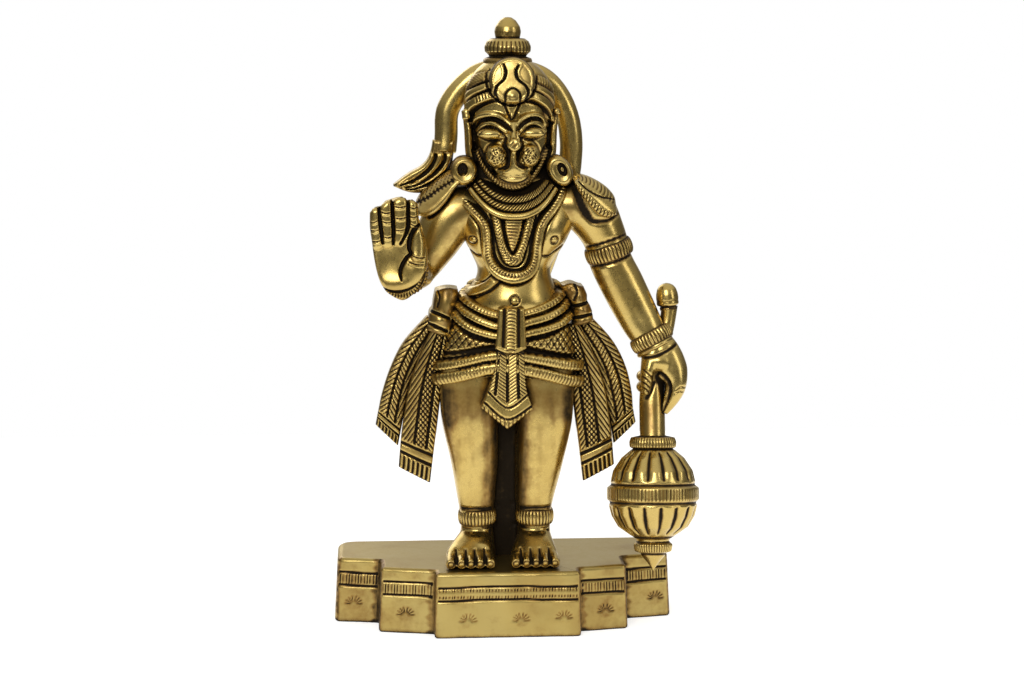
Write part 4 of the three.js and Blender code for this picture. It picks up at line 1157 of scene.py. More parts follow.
def carve_right_plate(c):
    gap, along, _, _ = c.measure(RIGHT_SPINE)
    tooth = ticks(FULL_TURN * along / 1.15) * ease((0.75 - gap) / 0.3)
    c.rise -= 0.3 * tooth
    c.black += 0.75 * tooth + 0.24
    c.cut(RIGHT_SPINE, 0.5, 0.3, 0.8)
    dots = ease(np.cos(c.x * 5.6 + c.z * 2) * np.cos(c.z * 5.6 - c.x * 2) * 2 - 0.6)
    dots *= ease((0.40 - c.u) / 0.05)
    c.rise -= 0.15 * dots
    c.black += 0.5 * dots


def left_plate_front(x, z, u, v):
    return -8.2 + 5.4 * (1 - u) ** 2.2 + 0.9 * u**4 + 2.4 * v**4


def right_plate_front(x, z, u, v):
    return -7.4 + 6.0 * (1 - u) ** 2.0 + 0.9 * u**4 + 1.6 * v**4


keep(plate("left_shoulder_plate", spread(LEFT_TOP, 8), spread(LEFT_LOW, 8), left_plate_front, 5.5,
           carve_left_plate, cell=0.2, rim=0.9),
     plate("right_shoulder_plate", spread(RIGHT_TOP, 8), spread(RIGHT_LOW, 8), right_plate_front, 5.5,
           carve_right_plate, cell=0.2, rim=0.8))

# %% [markdown]
# The upper arm and both wrists carry rings ribbed with a graver. Each ring is a short limb round the arm,
# with ticks all the way round it and a dark groove at both edges, so it holds up from every side.

# %% Arm rings
def ribbed(count):
    """Ticks round a ring, this many to a turn."""
    def carve(c):
        tick = ticks(c.u * count)
        across = np.abs(2 * c.v - 1)
        groove = peak(1 - across, 0.28)
        c.rise += 0.75 * dome(across) - 0.3 * tick * (1 - groove)
        c.black += 0.65 * tick * (1 - groove) + 0.9 * groove
    return carve


def ring_round(name, start, end, half_w, half_d, count, facing=(0, -1, 0)):
    """A ribbed ring from one middle to another, which needn't be level."""
    middle = [(a + b) / 2 for a, b in zip(start, end)]
    stations = [[*place, half_w, half_d] for place in (start, middle, end)]
    return limb(name, stations, around=220, per_mm=6, facing=facing, carve=ribbed(count))


keep(ring_round("armlet", (27.6, 0.95, 88.4), (29.0, 1.1, 84.2), 6.0, 5.8, 38),
     ring_round("left_bangle", (39.0, -1.7, 64.0), (40.8, -2.4, 60.6), 5.4, 5.2, 36),
     ring_round("left_bangle_rim", (40.6, -2.3, 60.7), (41.3, -2.6, 59.4), 4.9, 4.7, 3),
     ring_round("right_bracelet", (-27.2, -10.2, 81.9), (-27.9, -13.2, 82.3), 5.6, 5.6, 36,
                facing=(0, 0, 1)))

# %% [markdown]
# The raised hand is nearly flat, as it is cast in one with its slits, so it is a plate whose upper edge
# follows the fingertips. The fingers, the thumb and its ball swell from it, the slits between them are cut
# deep, and paired creases cross every finger.

# %% Raised hand
HAND_OUT = [(-36.9, 98.2), (-36.9, 94.6), (-36.4, 90.6), (-35.9, 86.6), (-35.2, 82.9), (-34.2, 79.8),
            (-32.6, 77.3), (-30.4, 75.8)]
HAND_IN = [(-24.2, 100.4), (-23.9, 96.6), (-22.6, 92.6), (-21.8, 88.6), (-21.8, 84.4), (-23.0, 80.6),
           (-24.6, 77.6), (-26.6, 75.8)]
SLITS = ([(-34.6, 100.6), (-34.2, 95.9), (-33.9, 93.5), (-33.6, 90.4)],
         [(-31.1, 102.8), (-30.8, 96.3), (-30.7, 93.4), (-30.8, 90.2)],
         [(-26.8, 102.6), (-26.8, 98.0), (-26.9, 94.5), (-27.7, 92.2), (-28.9, 90.2)])


def finger_tips(u):
    return np.interp(u, [0, 0.06, 0.16, 0.20, 0.25, 0.36, 0.45, 0.48, 0.52, 0.62, 0.74, 0.79, 0.83, 0.93, 1],
                     [0, 1.2, 1.3, 0.7, 1.9, 2.7, 2.7, 2.0, 2.8, 3.0, 2.5, 1.4, 1.8, 1.3, 0.2])


FINGERS = (([(-35.6, 99.0), (-35.4, 95.0), (-34.9, 90.0)], 2.9),
           ([(-32.8, 101.4), (-32.6, 96.0), (-32.2, 90.6)], 3.3),
           ([(-29.0, 102.4), (-28.9, 97.0), (-29.3, 91.4)], 3.7),
           ([(-25.4, 101.0), (-25.4, 98.0), (-25.2, 95.4)], 2.7))
THUMB_LINE = [(-24.0, 95.2), (-25.5, 93.4), (-26.3, 91.6), (-26.6, 89.0), (-26.1, 87.7), (-27.2, 86.6),
              (-28.3, 84.9), (-29.0, 82.8), (-28.7, 80.5)]
CREASES = (
    [(-36.6, 95.9), (-34.7, 96.4)], [(-36.6, 93.7), (-34.3, 94.0)], [(-36.2, 90.8), (-33.8, 91.2)],
    [(-33.9, 98.6), (-31.6, 98.4)], [(-33.7, 96.1), (-31.2, 95.9)], [(-33.3, 92.0), (-31.2, 92.0)],
    [(-30.4, 100.0), (-27.4, 100.1)], [(-30.3, 97.0), (-27.4, 97.1)], [(-30.2, 93.8), (-27.4, 94.0)],
    [(-26.3, 99.8), (-24.4, 99.7)], [(-26.3, 97.3), (-24.3, 97.4)], [(-26.2, 95.4), (-23.8, 94.8)],
    [(-25.8, 87.0), (-22.4, 86.4)], [(-26.6, 85.3), (-22.8, 84.5)])


def carve_hand(c):
    for path, wide in FINGERS:
        c.ridge(path, wide, 0.7)
    c.swell(-31.8, 86.2, 3.0, 4.2, -0.55)
    c.swell(-29.6, 79.6, 5.2, 2.0, 0.5)
    c.swell(-25.2, 83.0, 3.2, 3.8, 1.0)
    c.ridge([(-24.4, 93.6), (-24.3, 90.4), (-24.4, 87.2)], (2.6, 3.6, 3.6), 1.0)
    c.cuts(SLITS, (0.7, 0.8, 0.9, 0.9, 0.6), 1.3, 1.2)
    c.cut(THUMB_LINE, (0.8, 1.2, 1.2, 1.1, 0.8, 1.0, 1.0, 0.9, 0.4), 1.2, 1.2)
    for (x0, z0), (x1, z1) in CREASES:
        c.cut([(x0, z0 + 0.1), ((x0 + x1) / 2, (z0 + z1) / 2 - 0.15), (x1, z1 + 0.1)], 0.36, 0.28, 0.7)
        c.ridge([(x0, z0 - 0.35), ((x0 + x1) / 2, (z0 + z1) / 2 - 0.6), (x1, z1 - 0.35)], 0.6, 0.16)
    c.cut([(-34.3, 78.9), (-32.1, 77.8), (-30.0, 77.5), (-27.8, 77.8), (-25.7, 78.7), (-23.6, 80.3),
           (-22.3, 82.6)],
          (0.5, 0.6, 0.7, 0.7, 0.6, 0.5, 0.4), 0.6, 1.1)
    c.band([(-33.4, 77.4), (-31.5, 76.7), (-29.4, 76.4), (-27.0, 76.7), (-24.9, 78.0), (-23.2, 80.2)],
           1.3, 0.5, hatch=0.3, moat=0)


def hand_front(x, z, u, v):
    return -16.6 + 0.5 * (2 * u - 1) ** 2


keep(plate("raised_hand", HAND_OUT, HAND_IN, hand_front, 3.4, carve_hand, cell=0.17, rim=1.1,
           lift=finger_tips, drop=lambda u: 0.7 * np.sin(math.pi * u)))

# %% [markdown]
# The other hand closes over the mace's shaft like a hook: the curled fingers on one side, with three creases
# on the knuckles, and the long heel of the hand on the other, with the shaft dark between them.

# %% Hand on the mace
def fist_forms():
    yield limb("back_of_hand", [[41.2, -3.0, 61.0, 4.5, 3.6], [42.6, -3.4, 58.6, 4.9, 3.9],
                                [44.2, -3.9, 55.8, 4.8, 4.0], [45.6, -4.4, 53.2, 4.2, 3.9],
                                [46.3, -5.0, 50.6, 3.1, 3.5], [45.8, -5.5, 48.0, 2.6, 3.0],
                                [44.4, -5.9, 45.0, 1.9, 2.2], [43.0, -6.2, 42.2, 0.9, 1.2]],
               around=44, per_mm=2.4)
    yield limb("knuckles", [[40.6, -3.4, 60.0, 3.4, 3.4], [39.4, -4.4, 56.6, 2.6, 3.4],
                            [38.4, -5.4, 53.4, 1.9, 3.0], [38.2, -5.7, 50.6, 1.7, 2.6],
                            [38.2, -5.6, 47.4, 1.1, 1.7]], around=36, per_mm=2.4)
    yield limb("bridge", [[38.8, -4.4, 56.4, 2.2, 3.2], [41.6, -4.7, 56.4, 3.4, 3.6],
                          [44.6, -4.4, 55.4, 3.0, 3.4]], around=32, per_mm=2.4)
    for z in (51.8, 48.8):
        yield limb("finger", [[41.6, 1.6, z + 0.6, 1.5, 1.4], [37.9, 0.0, z, 1.6, 1.5],
                              [37.5, -3.4, z, 1.5, 1.5], [38.6, -5.6, z - 0.2, 1.4, 1.3]],
                   around=24, per_mm=2.4, facing=(0, 0, 1))
    yield egg("palm", (42.6, 0.6, 51.6), (3.4, 3.0, 6.0), 32, 24)


ARCH_OF_HAND = [(38.2, 46.6), (39.3, 48.6), (39.9, 50.6), (40.3, 52.4), (41.4, 53.2), (42.6, 52.5),
                (43.8, 50.9), (44.2, 49.2), (43.9, 47.2), (43.2, 45.0), (42.4, 42.8)]
KNUCKLE_LINES = (((36.2, 54.8), (39.6, 52.4)), ((36.0, 52.9), (39.0, 51.0)), ((36.2, 51.2), (38.8, 49.6)),
                 ((36.4, 49.6), (38.6, 48.2)))


def carve_fist(c):
    for (x0, z0), (x1, z1) in KNUCKLE_LINES:
        c.cut([(x0, z0), ((x0 + x1) / 2, (z0 + z1) / 2 + 0.2), (x1, z1)], (0.4, 0.6, 0.4), 0.4, 1.0)
    c.cut(ARCH_OF_HAND, (0.6, 0.9, 1.0, 1.0, 1.2, 1.3, 1.3, 1.2, 1.0, 0.8, 0.6), 0.8, 1.1)
    c.cut([(46.0, 48.9), (47.3, 49.8), (48.8, 49.4)], 0.35, 0.2, 0.6)
    c.cut([(45.6, 47.9), (46.9, 48.6), (48.2, 48.2)], 0.35, 0.2, 0.5)
    c.film_and_shade(46.2, 51.0, 2.0, 1.2, 0.25)
    c.cut([(36.2, 57.4), (41.4, 58.6), (46.6, 61.2)], 0.9, 0.3, 1.1)


keep(engrave(one_skin(fist_forms(), "hand_on_mace", 0.29, rounds=3), carve_fist))

# %% [markdown]
# The mace's head is turned, and then gouged: long cuts fan out over both bowls, and three rings are ribbed.
# The profile is the one in the packed model, with the small steps between its parts added.

# %% Head of the mace
MACE_RADIUS = 12.0
MACE = [(0.0, -0.8), (0.14, 1.5), (0.28, 3.4), (0.27, 3.9), (0.42, 4.5), (0.45, 6.4), (0.38, 7.0),
        (0.36, 7.4), (0.40, 8.0), (0.52, 8.9), (0.80, 11.2), (0.95, 14.2), (1.01, 17.2), (0.97, 17.8),
        (1.0, 18.2), (1.05, 18.7), (1.05, 21.9), (1.0, 22.3), (0.94, 22.8), (0.97, 23.4), (0.91, 26.6),
        (0.72, 30.0), (0.50, 32.2), (0.44, 32.5), (0.53, 32.9), (0.54, 34.4), (0.50, 35.6), (0.26, 36.2),
        (0.05, 36.3)]
BOWLS = ((8.9, 17.4, 16, 0.2), (23.4, 32.2, 16, 0.0))
RIBBED_RINGS = ((4.2, 6.9, 44), (18.4, 22.0, 80), (32.7, 35.6, 46))
DARK_STEPS = ((8.4, 0.4), (17.9, 0.45), (22.8, 0.45), (32.4, 0.4), (35.9, 0.4), (3.8, 0.35), (7.1, 0.25))


def carve_mace(c):
    z = c.z
    for low, high, count, phase in BOWLS:
        span = np.clip((z - low) / (high - low), 0, 1)
        bowl = ease(span / 0.12) * ease((1 - span) / 0.12)
        waist = 0.10 + 0.16 * np.sin(math.pi * span) ** 0.8
        angle = (c.x * count / FULL_TURN + phase) % 1 - 0.5
        c.rise -= 0.7 * (peak(angle, waist) * bowl)
        c.black += 1.1 * peak(angle - 0.03, waist * 0.5) * bowl
    for low, high, count in RIBBED_RINGS:
        tick = ticks(c.x * count) * ease((z - low) / 0.4) * ease((high - z) / 0.4)
        c.rise -= 0.22 * tick
        c.black += 0.55 * tick
    for level, wide in DARK_STEPS:
        c.black += peak(z - level, wide)


keep(turned("mace_head", [(share * MACE_RADIUS, height) for share, height in MACE], (39.6, -12.2, 0.4),
            (0.01, 0.17, 1), around=220, per_mm=3.7, carve=carve_mace))

# %% [markdown]
# The shaft is a limb that leans back from the mace's head to the wrist, dark where the hand closes over it,
# and a turned knob ends it above the hand.

# %% Shaft and knob
SHAFT = [[39.9, -6.8, 34, 3.5, 3.4], [39.9, -5.2, 40, 3.5, 3.3], [40.1, -3.4, 48, 3.4, 3.1],
         [41.8, -1.2, 58, 2.8, 2.7], [44.2, 0.4, 65.0, 2.2, 2.2], [45.3, 1.2, 71.2, 2.2, 2.2]]
KNOB = [[0.2, 0.0], [2.2, 0.2], [2.4, 0.9], [2.0, 1.35], [2.9, 1.7], [3.1, 2.3], [2.95, 2.9], [3.1, 3.4],
        [3.0, 4.8], [2.6, 6.2], [1.9, 7.1], [1.0, 7.6], [0.1, 7.8]]


def carve_shaft(c):
    c.cut([(42.9, 42.6), (43.0, 46.0), (42.6, 49.6), (41.6, 52.0)], (1.2, 2.2, 2.6, 2.4), 0.2, 1.2)
    c.cut([(38.0, 46.4), (39.3, 48.4), (40.2, 50.6)], 1.0, 0.2, 1.1)
    c.black += 0.24 * ease((47 - c.z) / 3) + 1.0 * ease((35.8 - c.z) / 0.5) + 0.9 * ease((c.z - 69.9) / 0.3)
    c.film_and_shade(38.4, 42.6, 1.6, 5.0, 0.3)


def carve_knob(c):
    c.black += 1.1 * peak(c.z - 1.35, 0.4) + 0.3 * peak(c.z - 2.9, 0.3)


keep(engrave(limb("mace_shaft", SHAFT, around=72, per_mm=3.5), carve_shaft),
     turned("mace_knob", KNOB, (44.9, 1.2, 69.4), (-0.09, 0.04, 1), around=72, per_mm=5, carve=carve_knob))

# %% [markdown]
# Three belts loop across the hips and two hems cross the thighs, with crosshatched cloth showing between
# them. They are raised from one body form, so that they carry on round the back.

# %% Hips and belts
HIPS = [
    [45.5, 0.5, 0, 15.0, 7.0], [47, 0.5, 0, 17.6, 8.8], [50, 0.5, 0, 19.0, 9.8], [55, 0.6, 0, 19.2, 10.4],
    [62, 0.8, 0, 17.8, 10.6], [68, 1.2, 0, 15.8, 10.0], [73, 1.7, 0, 13.6, 8.8], [76, 1.8, 0, 12.0, 8.4],
    [78.5, 1.9, 0, 10.6, 8.0]]
BELTS = (
    ([(-60, 78), (-19, 77.6), (-15.0, 76.6), (-11.5, 74.6), (-8.5, 72.5), (-5.5, 71.1), (-2.7, 70.3),
      (1.0, 70.0), (4.8, 70.8), (7.9, 71.7), (11.8, 73.4), (15.1, 75.9), (19, 77.6), (60, 78)],
     2.1, 2.3, 0.16),
    ([(-60, 74.4), (-19, 75.6), (-13.9, 74.0), (-11.5, 71.4), (-8.5, 69.5), (-5.5, 68.1), (-3.0, 67.3),
      (1.0, 67.0), (5.4, 68.3), (7.9, 68.9), (10.6, 69.7), (14.2, 71.5), (16.6, 74.0), (21, 75.2),
      (60, 74.4)], 2.2, 2.2, 0.08),
    ([(-60, 70.6), (-20, 72.4), (-14.5, 71.3), (-12.1, 68.4), (-9.1, 66.4), (-5.5, 65.2), (-3.3, 64.7),
      (1.0, 64.4), (5.7, 65.4), (9.4, 66.1), (13.9, 67.5), (17.2, 69.8), (22, 71.4), (60, 70.6)],
     2.1, 2.1, 0.14))
HEMS = (
    ([(-60, 53.8), (-25, 54.4), (-20.1, 55.0), (-14.5, 56.2), (-8.5, 57.9), (-4.6, 58.9), (0.3, 59.2),
      (5.1, 58.3), (9.5, 57.4), (15.5, 56.1), (20.2, 55.2), (25, 54.4), (60, 53.8)],
     (3.2, 3.2, 2.8, 3.2, 3.2), 2.0),
    ([(-60, 50.3), (-25, 50.8), (-20.4, 51.3), (-14.5, 52.9), (-8.5, 54.7), (-5.2, 55.6), (0.3, 56.0),
      (5.9, 54.9), (11, 53.5), (15.5, 51.9), (20, 50.7), (25, 50.4), (60, 50.3)],
     (3.7, 3.6, 3.1, 3.6, 3.9), 2.3))
CLOTH = [(-60, 58), (-22, 58.6), (-13.0, 60.5), (-5.5, 62), (1, 62.6), (5.7, 61.2), (12.5, 59.6), (22, 57.6),
         (60, 57), (60, 69.5), (18, 68.2), (11, 64.8), (6, 63.8), (1, 63.4), (-4.9, 63.7), (-9.7, 64.9),
         (-14, 67.5), (-60, 69.5)]
UNDER_BELTS = [(-18, 69.2), (-14.9, 68.6), (-12.7, 66.2), (-9.7, 64.3), (-4.9, 63.2), (1, 62.9), (6, 63.6),
               (11, 64.4), (16, 66.4), (20, 68.4)]
OVER_HEMS = [(-26, 58.0), (-18.4, 58.8), (-13.0, 59.7), (-5.5, 61.3), (1, 61.8), (5.7, 60.8), (12.5, 59.2),
             (19.7, 57.6), (26, 57)]


def carve_hips(c):
    c.black += 0.13
    cloth = c.inside(CLOTH)
    for degrees in (32, -40):
        c.lines(cloth, 1.5, 0.24, degrees, 0.85, power=5)
    for path, width, height, hatch in BELTS:
        c.band(path, width, height, hatch=hatch, pitch=0.85, moat=0.75)
    c.cut(UNDER_BELTS, 1.3, 0.9, 1.0)
    c.cut(OVER_HEMS, 1.2, 1.0, 1.0)
    c.cuts([path[1:-1] for path, _, _ in HEMS], 5.2, 0.4, 1.1)
    for path, width, height in HEMS:
        c.band(path, width, height, hatch=0.22, pitch=0.85, moat=0.9, dark=0.6)
    lower_hem = HEMS[1][0]
    edge = np.interp(c.x, [x for x, _ in lower_hem], [z for _, z in lower_hem])
    c.rise -= 4.0 * ease((edge - 2.2 - c.z) / 0.8)
    # Painted shadow: a dark band just under the lower hem, where the body falls back.
    c.black += 0.9 * ease((edge - 1.6 - c.z) / 0.6) * ease((c.z - edge + 3.4) / 0.8)


keep(wrapped("hips", HIPS, carve_hips, around=250, per_mm=4.2, power=0.88))

# %% [markdown]
# The flap hangs over the belts in two tiers, and each is a plate with an engraved front. The lower one comes
# first. It has four hatched pleats, whose ticks lean four ways, and a double line above its pointed hem.

# %% Lower flap
PLEAT_LINES = ([(-2.6, 60), (-3.2, 53.3), (-3.7, 49.0)], [(-0.3, 60), (-0.4, 53.2), (-0.4, 47.0)],
               [(2.4, 60), (2.5, 53.2), (2.7, 48.0)])


def carve_lower_flap(c):
    c.cuts(PLEAT_LINES, (0.5, 0.75, 0.75), 0.55, 1.0)
    # Painted shadow: the top of the lower flap, just under the upper flap, is black.
    c.black += 1.1 * ease((c.z - 59.4) / 0.5)
    foot_of_pleats = np.interp(c.x, [-6, -0.3, 6], [50.6, 45.9, 49.6])
    pleats = ease((c.v - 0.02) / 0.05) * ease((c.z - foot_of_pleats) / 0.3)
    half = np.where(c.x > -0.35, 1, -1)
    slant = np.where((c.x + 0.35) * half > 2.7, 1, -1) * half
    tick = ticks(FULL_TURN * (c.z + 0.7 * slant * c.x) / 0.95) * pleats
    c.rise -= 0.28 * tick
    c.black += 0.7 * tick
    c.cut([(-6.4, 50.4), (-5.5, 49.7), (-0.3, 45.3), (5.1, 48.8), (6, 49.4)], 0.6, 0.5, 1.0)
    c.cut([(-7.4, 47.3), (-6.3, 46.6), (-0.4, 42.1), (6.0, 45.6), (7, 46.4)], 0.7, 0.55, 1.0)
    hem = ease((np.interp(c.x, [-7, -0.4, 6.6], [46.3, 41.6, 45.4]) - c.z) / 0.3)
    tick = ticks(FULL_TURN * c.x / 1.1) * hem
    c.rise -= 0.25 * tick
    c.black += 0.65 * tick


def lower_flap_front(x, z, u, v):
    return -12.9 - 0.6 * v


keep(plate("lower_flap", [(-3.2, 61.2), (-3.6, 57.0), (-4.5, 53.3), (-5.6, 50.0), (-7.4, 45.4)],
           [(4.2, 61.2), (4.3, 56.5), (4.6, 51.7), (5.2, 48.6), (6.6, 45.0)],
           lower_flap_front, 5.5, carve_lower_flap, cell=0.2, rim=0.5,
           drop=lambda u: 5.8 * (1 - np.abs(2 * u - 1))))

# %% [markdown]
# The upper tier stands a little further forward. A ribbed strip runs down its middle, with a dark line along
# each side of the strip.

# %% Upper flap
FLAP_TOP = 71.6


def carve_upper_flap(c):
    x = c.x - (0.7 - (FLAP_TOP - c.z) * 0.02)
    strip = ease((1.35 - np.abs(x)) / 0.2)
    wave = (c.z - 0.45 * np.sqrt(np.clip(1.6 - x**2, 0, 2))) / 0.95
    tick = ticks(FULL_TURN * wave) * strip
    c.rise += 0.3 * strip - 0.3 * tick
    c.black += 0.75 * tick
    for at in (-1.9, 1.9):
        mark = peak(x - at - at * 0.12 * (FLAP_TOP - c.z) / 10, 0.42, 4) * ease((0.93 - c.v) / 0.03)
        c.rise -= 0.6 * mark
        c.black += mark
    c.rise += 0.5 * ease((c.v - 0.94) / 0.03)


def upper_flap_front(x, z, u, v):
    return -13.6 - 0.5 * v + 0.5 * (2 * u - 1) ** 2


keep(plate("upper_flap", [(-2.8, 72.2), (-3.1, 67), (-3.6, 61.6)], [(4.2, 72.2), (4.5, 67), (4.7, 61.6)],
           upper_flap_front, 5.5, carve_upper_flap, cell=0.2, rim=0.5,
           drop=lambda u: 1.4 * np.sin(math.pi * u)))

# %% [markdown]
# The sash is knotted at each hip, and two pleated ends fall beside each leg. Every end has strips hatched
# in turn along and across, a double line above its hem, and a fringe cut as upright flutes. The ends of one
# side are drawn once and mirrored for the other, which hangs a little closer to the leg.

# %% Ends of the sash
HEM_AT = 0.80


def carve_end(splits, angles):
    """Splits part the strips across the end, and each strip has its own directions of hatching."""
    def carve(c):
        cloth = ease((HEM_AT - c.v) / 0.01)
        edges = [0, *splits, 1]
        for low, high, degrees in zip(edges[:-1], edges[1:], angles):
            strip = ease((c.u - low) / 0.03) * ease((high - c.u) / 0.03) * cloth
            middle = (low + high) / 2
            c.rise += 0.35 * strip * dome((c.u - middle) / (high - low) * 2)
            inner = strip * ease((c.u - low - 0.02) / 0.03) * ease((high - 0.02 - c.u) / 0.03)
            for turn in degrees:
                c.lines(inner, 1.0, 0.26, turn, 0.7)
        c.black += 0.34
        line = cloth * sum(peak(c.u - split, 0.035, 4) for split in splits)
        for level in (HEM_AT + 0.02, HEM_AT + 0.085):
            line = line + peak(c.v - level, 0.011, 4)
        fringe = ease((c.v - HEM_AT - 0.10) / 0.01)
        flute = ticks(FULL_TURN * c.u * 7, 1.6) * fringe
        c.rise -= 0.6 * np.clip(line, 0, 1) + 0.55 * flute
        c.black += np.clip(line, 0, 1) + 0.95 * flute
    return carve


LEFT_ASIDE = 0.3


def sash_ends(side, word):
    """Both ends on one side, which is 1 for the figure's left and -1 for its right."""
    wider = 1.4 if side > 0 else 0.2
    outer = ([(17.6, 66.5), (23.0, 57.5), (26.0, 50.5), (27.6, 43.4), (28.8, 37.5), (29.7, 32.6)],
             [(21.4 + wider, 68.6), (27.8 + wider, 61.4), (31.4 + wider, 54.4), (33.8 + wider / 2, 47.6),
              (35.0, 42.6), (35.8, 38.6)])
    inner = ([(15.6, 66.5), (16.8, 56.5), (17.8, 48.5), (18.9, 39.5), (20.0, 31.0), (21.0, 22.6)],
             [(19.8, 66.5), (23.9, 57.6), (26.6, 49.6), (27.9, 42.4), (28.9, 35.0), (29.6, 27.2)])
    aside = LEFT_ASIDE if side > 0 else 0
    for name, edges, y, splits, angles in (
            ("outer_end", outer, 0.4, (0.30, 0.64), ((30 * side,), (-30 * side,), (60 * side,))),
            ("inner_end", inner, -2.0, (0.24, 0.60), ((-35 * side,), (40, -40), (35 * side,)))):
        left, right = ([(side * x + aside, z) for x, z in edge] for edge in edges[::side])
        marks = splits if side > 0 else [1 - split for split in splits[::-1]]
        yield plate(f"{word}_{name}", left, right, lambda x, z, u, v, y=y: y - 0.5 * np.sin(math.pi * u),
                    3.2, carve_end(marks, angles[::side]), cell=0.25, rim=0.5)


keep(*sash_ends(-1, "right_sash"), *sash_ends(1, "left_sash"))

# %% [markdown]
# Each knot is a thick plate as well, with two tight turns of cloth across it. The turns are deep cuts, and
# the folds beside them are soft swellings.

# %% Knots of the sash
KNOT_TURNS = (
    [(-21.4, 70.9), (-20.5, 70.4), (-18.5, 69.7), (-15.6, 68.4)],
    [(-22.4, 67.5), (-21.2, 67.0), (-19.5, 66.4), (-16.2, 64.9)],
    [(17.4, 71.2), (18.4, 71.5), (20.3, 72.0), (23.0, 72.7)],
    [(17.6, 68.1), (18.5, 68.3), (21.0, 68.8), (24.4, 69.5)])
KNOT_FOLDS = ((-16.6, 73.2, 1.8, 2.4, 0.4), (20.0, 74.8, 1.5, 2.0, 0.5), (-18.4, 68.0, 1.6, 1.0, 0.3),
              (20.8, 70.4, 1.6, 1.0, 0.3))


def carve_knots(c):
    c.cuts(KNOT_TURNS, (0.6, 0.9, 0.9, 0.7), 1.0, 1.2)
    for fold in KNOT_FOLDS:
        c.swell(*fold)
    c.cut([(18.6, 77.4), (19.2, 75.4), (18.4, 73.2)], 0.7, 0.4, 0.7)
    c.cut([(-18.6, 76.0), (-18.2, 74.0), (-18.8, 71.6)], 0.6, 0.3, 0.5)
    c.black += 0.5 + 0.12 * np.sin(0.9 * c.x) * np.sin(0.8 * c.z)


def knot_front(x, z, u, v):
    return -4.0 + 1.6 * (2 * u - 1) ** 2 + 0.8 * (1 - v) ** 2


keep(plate("right_knot", [(-19.2, 75.8), (-19.8, 73.0), (-20.1, 71.0), (-20.9, 69.8), (-21.2, 67.8),
                          (-21.6, 65.0)],
           [(-13.2, 76.2), (-12.7, 73.2), (-13.4, 70.4), (-14.2, 68.4), (-14.6, 66.0), (-15.2, 63.0)],
           knot_front, 8.6, carve_knots, cell=0.22, rim=0.8, lift=lambda u: 0.7 * np.sin(math.pi * u)),
     plate("left_knot", [(14.4, 76.9), (15.6, 74.5), (17.6, 71.9), (17.9, 70.6), (18.1, 68.5), (18.0, 65.8)],
           [(21.2, 76.7), (22.1, 74.6), (22.2, 73.0), (23.0, 71.4), (23.6, 69.6), (23.9, 67.2)],
           knot_front, 8.6, carve_knots, cell=0.22, rim=0.8, lift=lambda u: 1.0 * np.sin(math.pi * u) ** 2))

# %% [markdown]
# Each foot is a wedge with five toes at its front. The toes end in round nails, with deep slits between
# them, and a thick ribbed anklet sits above. The sole is pressed flat on the plinth's top at the end.

# %% Feet and anklets
def foot_forms(toes, ankle):
    middle = sum(toes) / 5
    yield limb("arch", [[ankle, 4.0, 4.4, 4.4, 3.8], [ankle, -1.0, 5.6, 4.8, 5.2],
                        [(ankle + middle) / 2, -5.6, 5.2, 5.5, 4.4], [middle, -9.6, 4.2, 6.3, 3.4],
                        [middle, -12.6, 3.4, 6.7, 2.4], [middle, -14.6, 2.9, 6.8, 1.9]],
               around=56, per_mm=2.4, power=0.8, facing=(0, 0, 1))
    yield limb("ankle", [[ankle, -1.2, 14, 4.4, 4.7], [ankle, -1.4, 9, 4.5, 4.8],
                         [ankle, -2.0, 4.6, 5.0, 6.0], [ankle, -2.4, 1.6, 5.2, 6.4]], around=48)
    for x in toes:
        inward = (middle - x) * 0.12
        yield limb("toe", [[x + inward, -9.5, 5.0, 1.2, 1.3], [x, -13.2, 4.1, 1.2, 1.3],
                           [x, -15.6, 3.4, 1.35, 1.5], [x, -17.0, 3.1, 1.25, 1.35]],
                   around=24, per_mm=3, facing=(0, 0, 1))


def foot(name, toes, ankle):
    def carve(c):
        for x in toes:
            nail = peak(np.hypot(c.x - x, c.z - 3.1) - 0.8, 0.22)
            c.rise -= 0.2 * nail
            c.black += 0.75 * nail
        for x0, x1 in zip(toes[:-1], toes[1:]):
            x = (x0 + x1) / 2
            c.cut([(x, 6.3), (x, 5.0), (x, 3.6), (x, 2.6)], (0.4, 0.8, 0.9, 0.6), 0.7, 1.1)
        c.black += 0.16

    skin = engrave(one_skin(foot_forms(toes, ankle), name, 0.3, rounds=2), carve, facing=(0, -0.9, 0.44))
    spots = corners_of(skin)
    spots[:, 2] = np.maximum(spots[:, 2], (FOOT - 0.2) * MM)
    skin.data.vertices.foreach_set("co", spots.ravel())
    skin.data.update()
    return skin


keep(foot("right_foot", (-15.9, -13.0, -10.5, -8.0, -5.2), -8.2),
     foot("left_foot", (1.8, 4.6, 7.2, 9.7, 12.3), 7.7),
     ring_round("right_anklet", (-8.1, -1.3, 15.4), (-8.0, -1.5, 11.0), 4.6, 5.7, 32),
     ring_round("left_anklet", (7.8, -1.3, 15.4), (7.8, -1.5, 11.0), 4.6, 5.7, 32))

# %% [markdown]
# The tail ends in a tuft: a curved plate with three long locks, and fine hair lines along them. Both its
# edges run out to one tip.

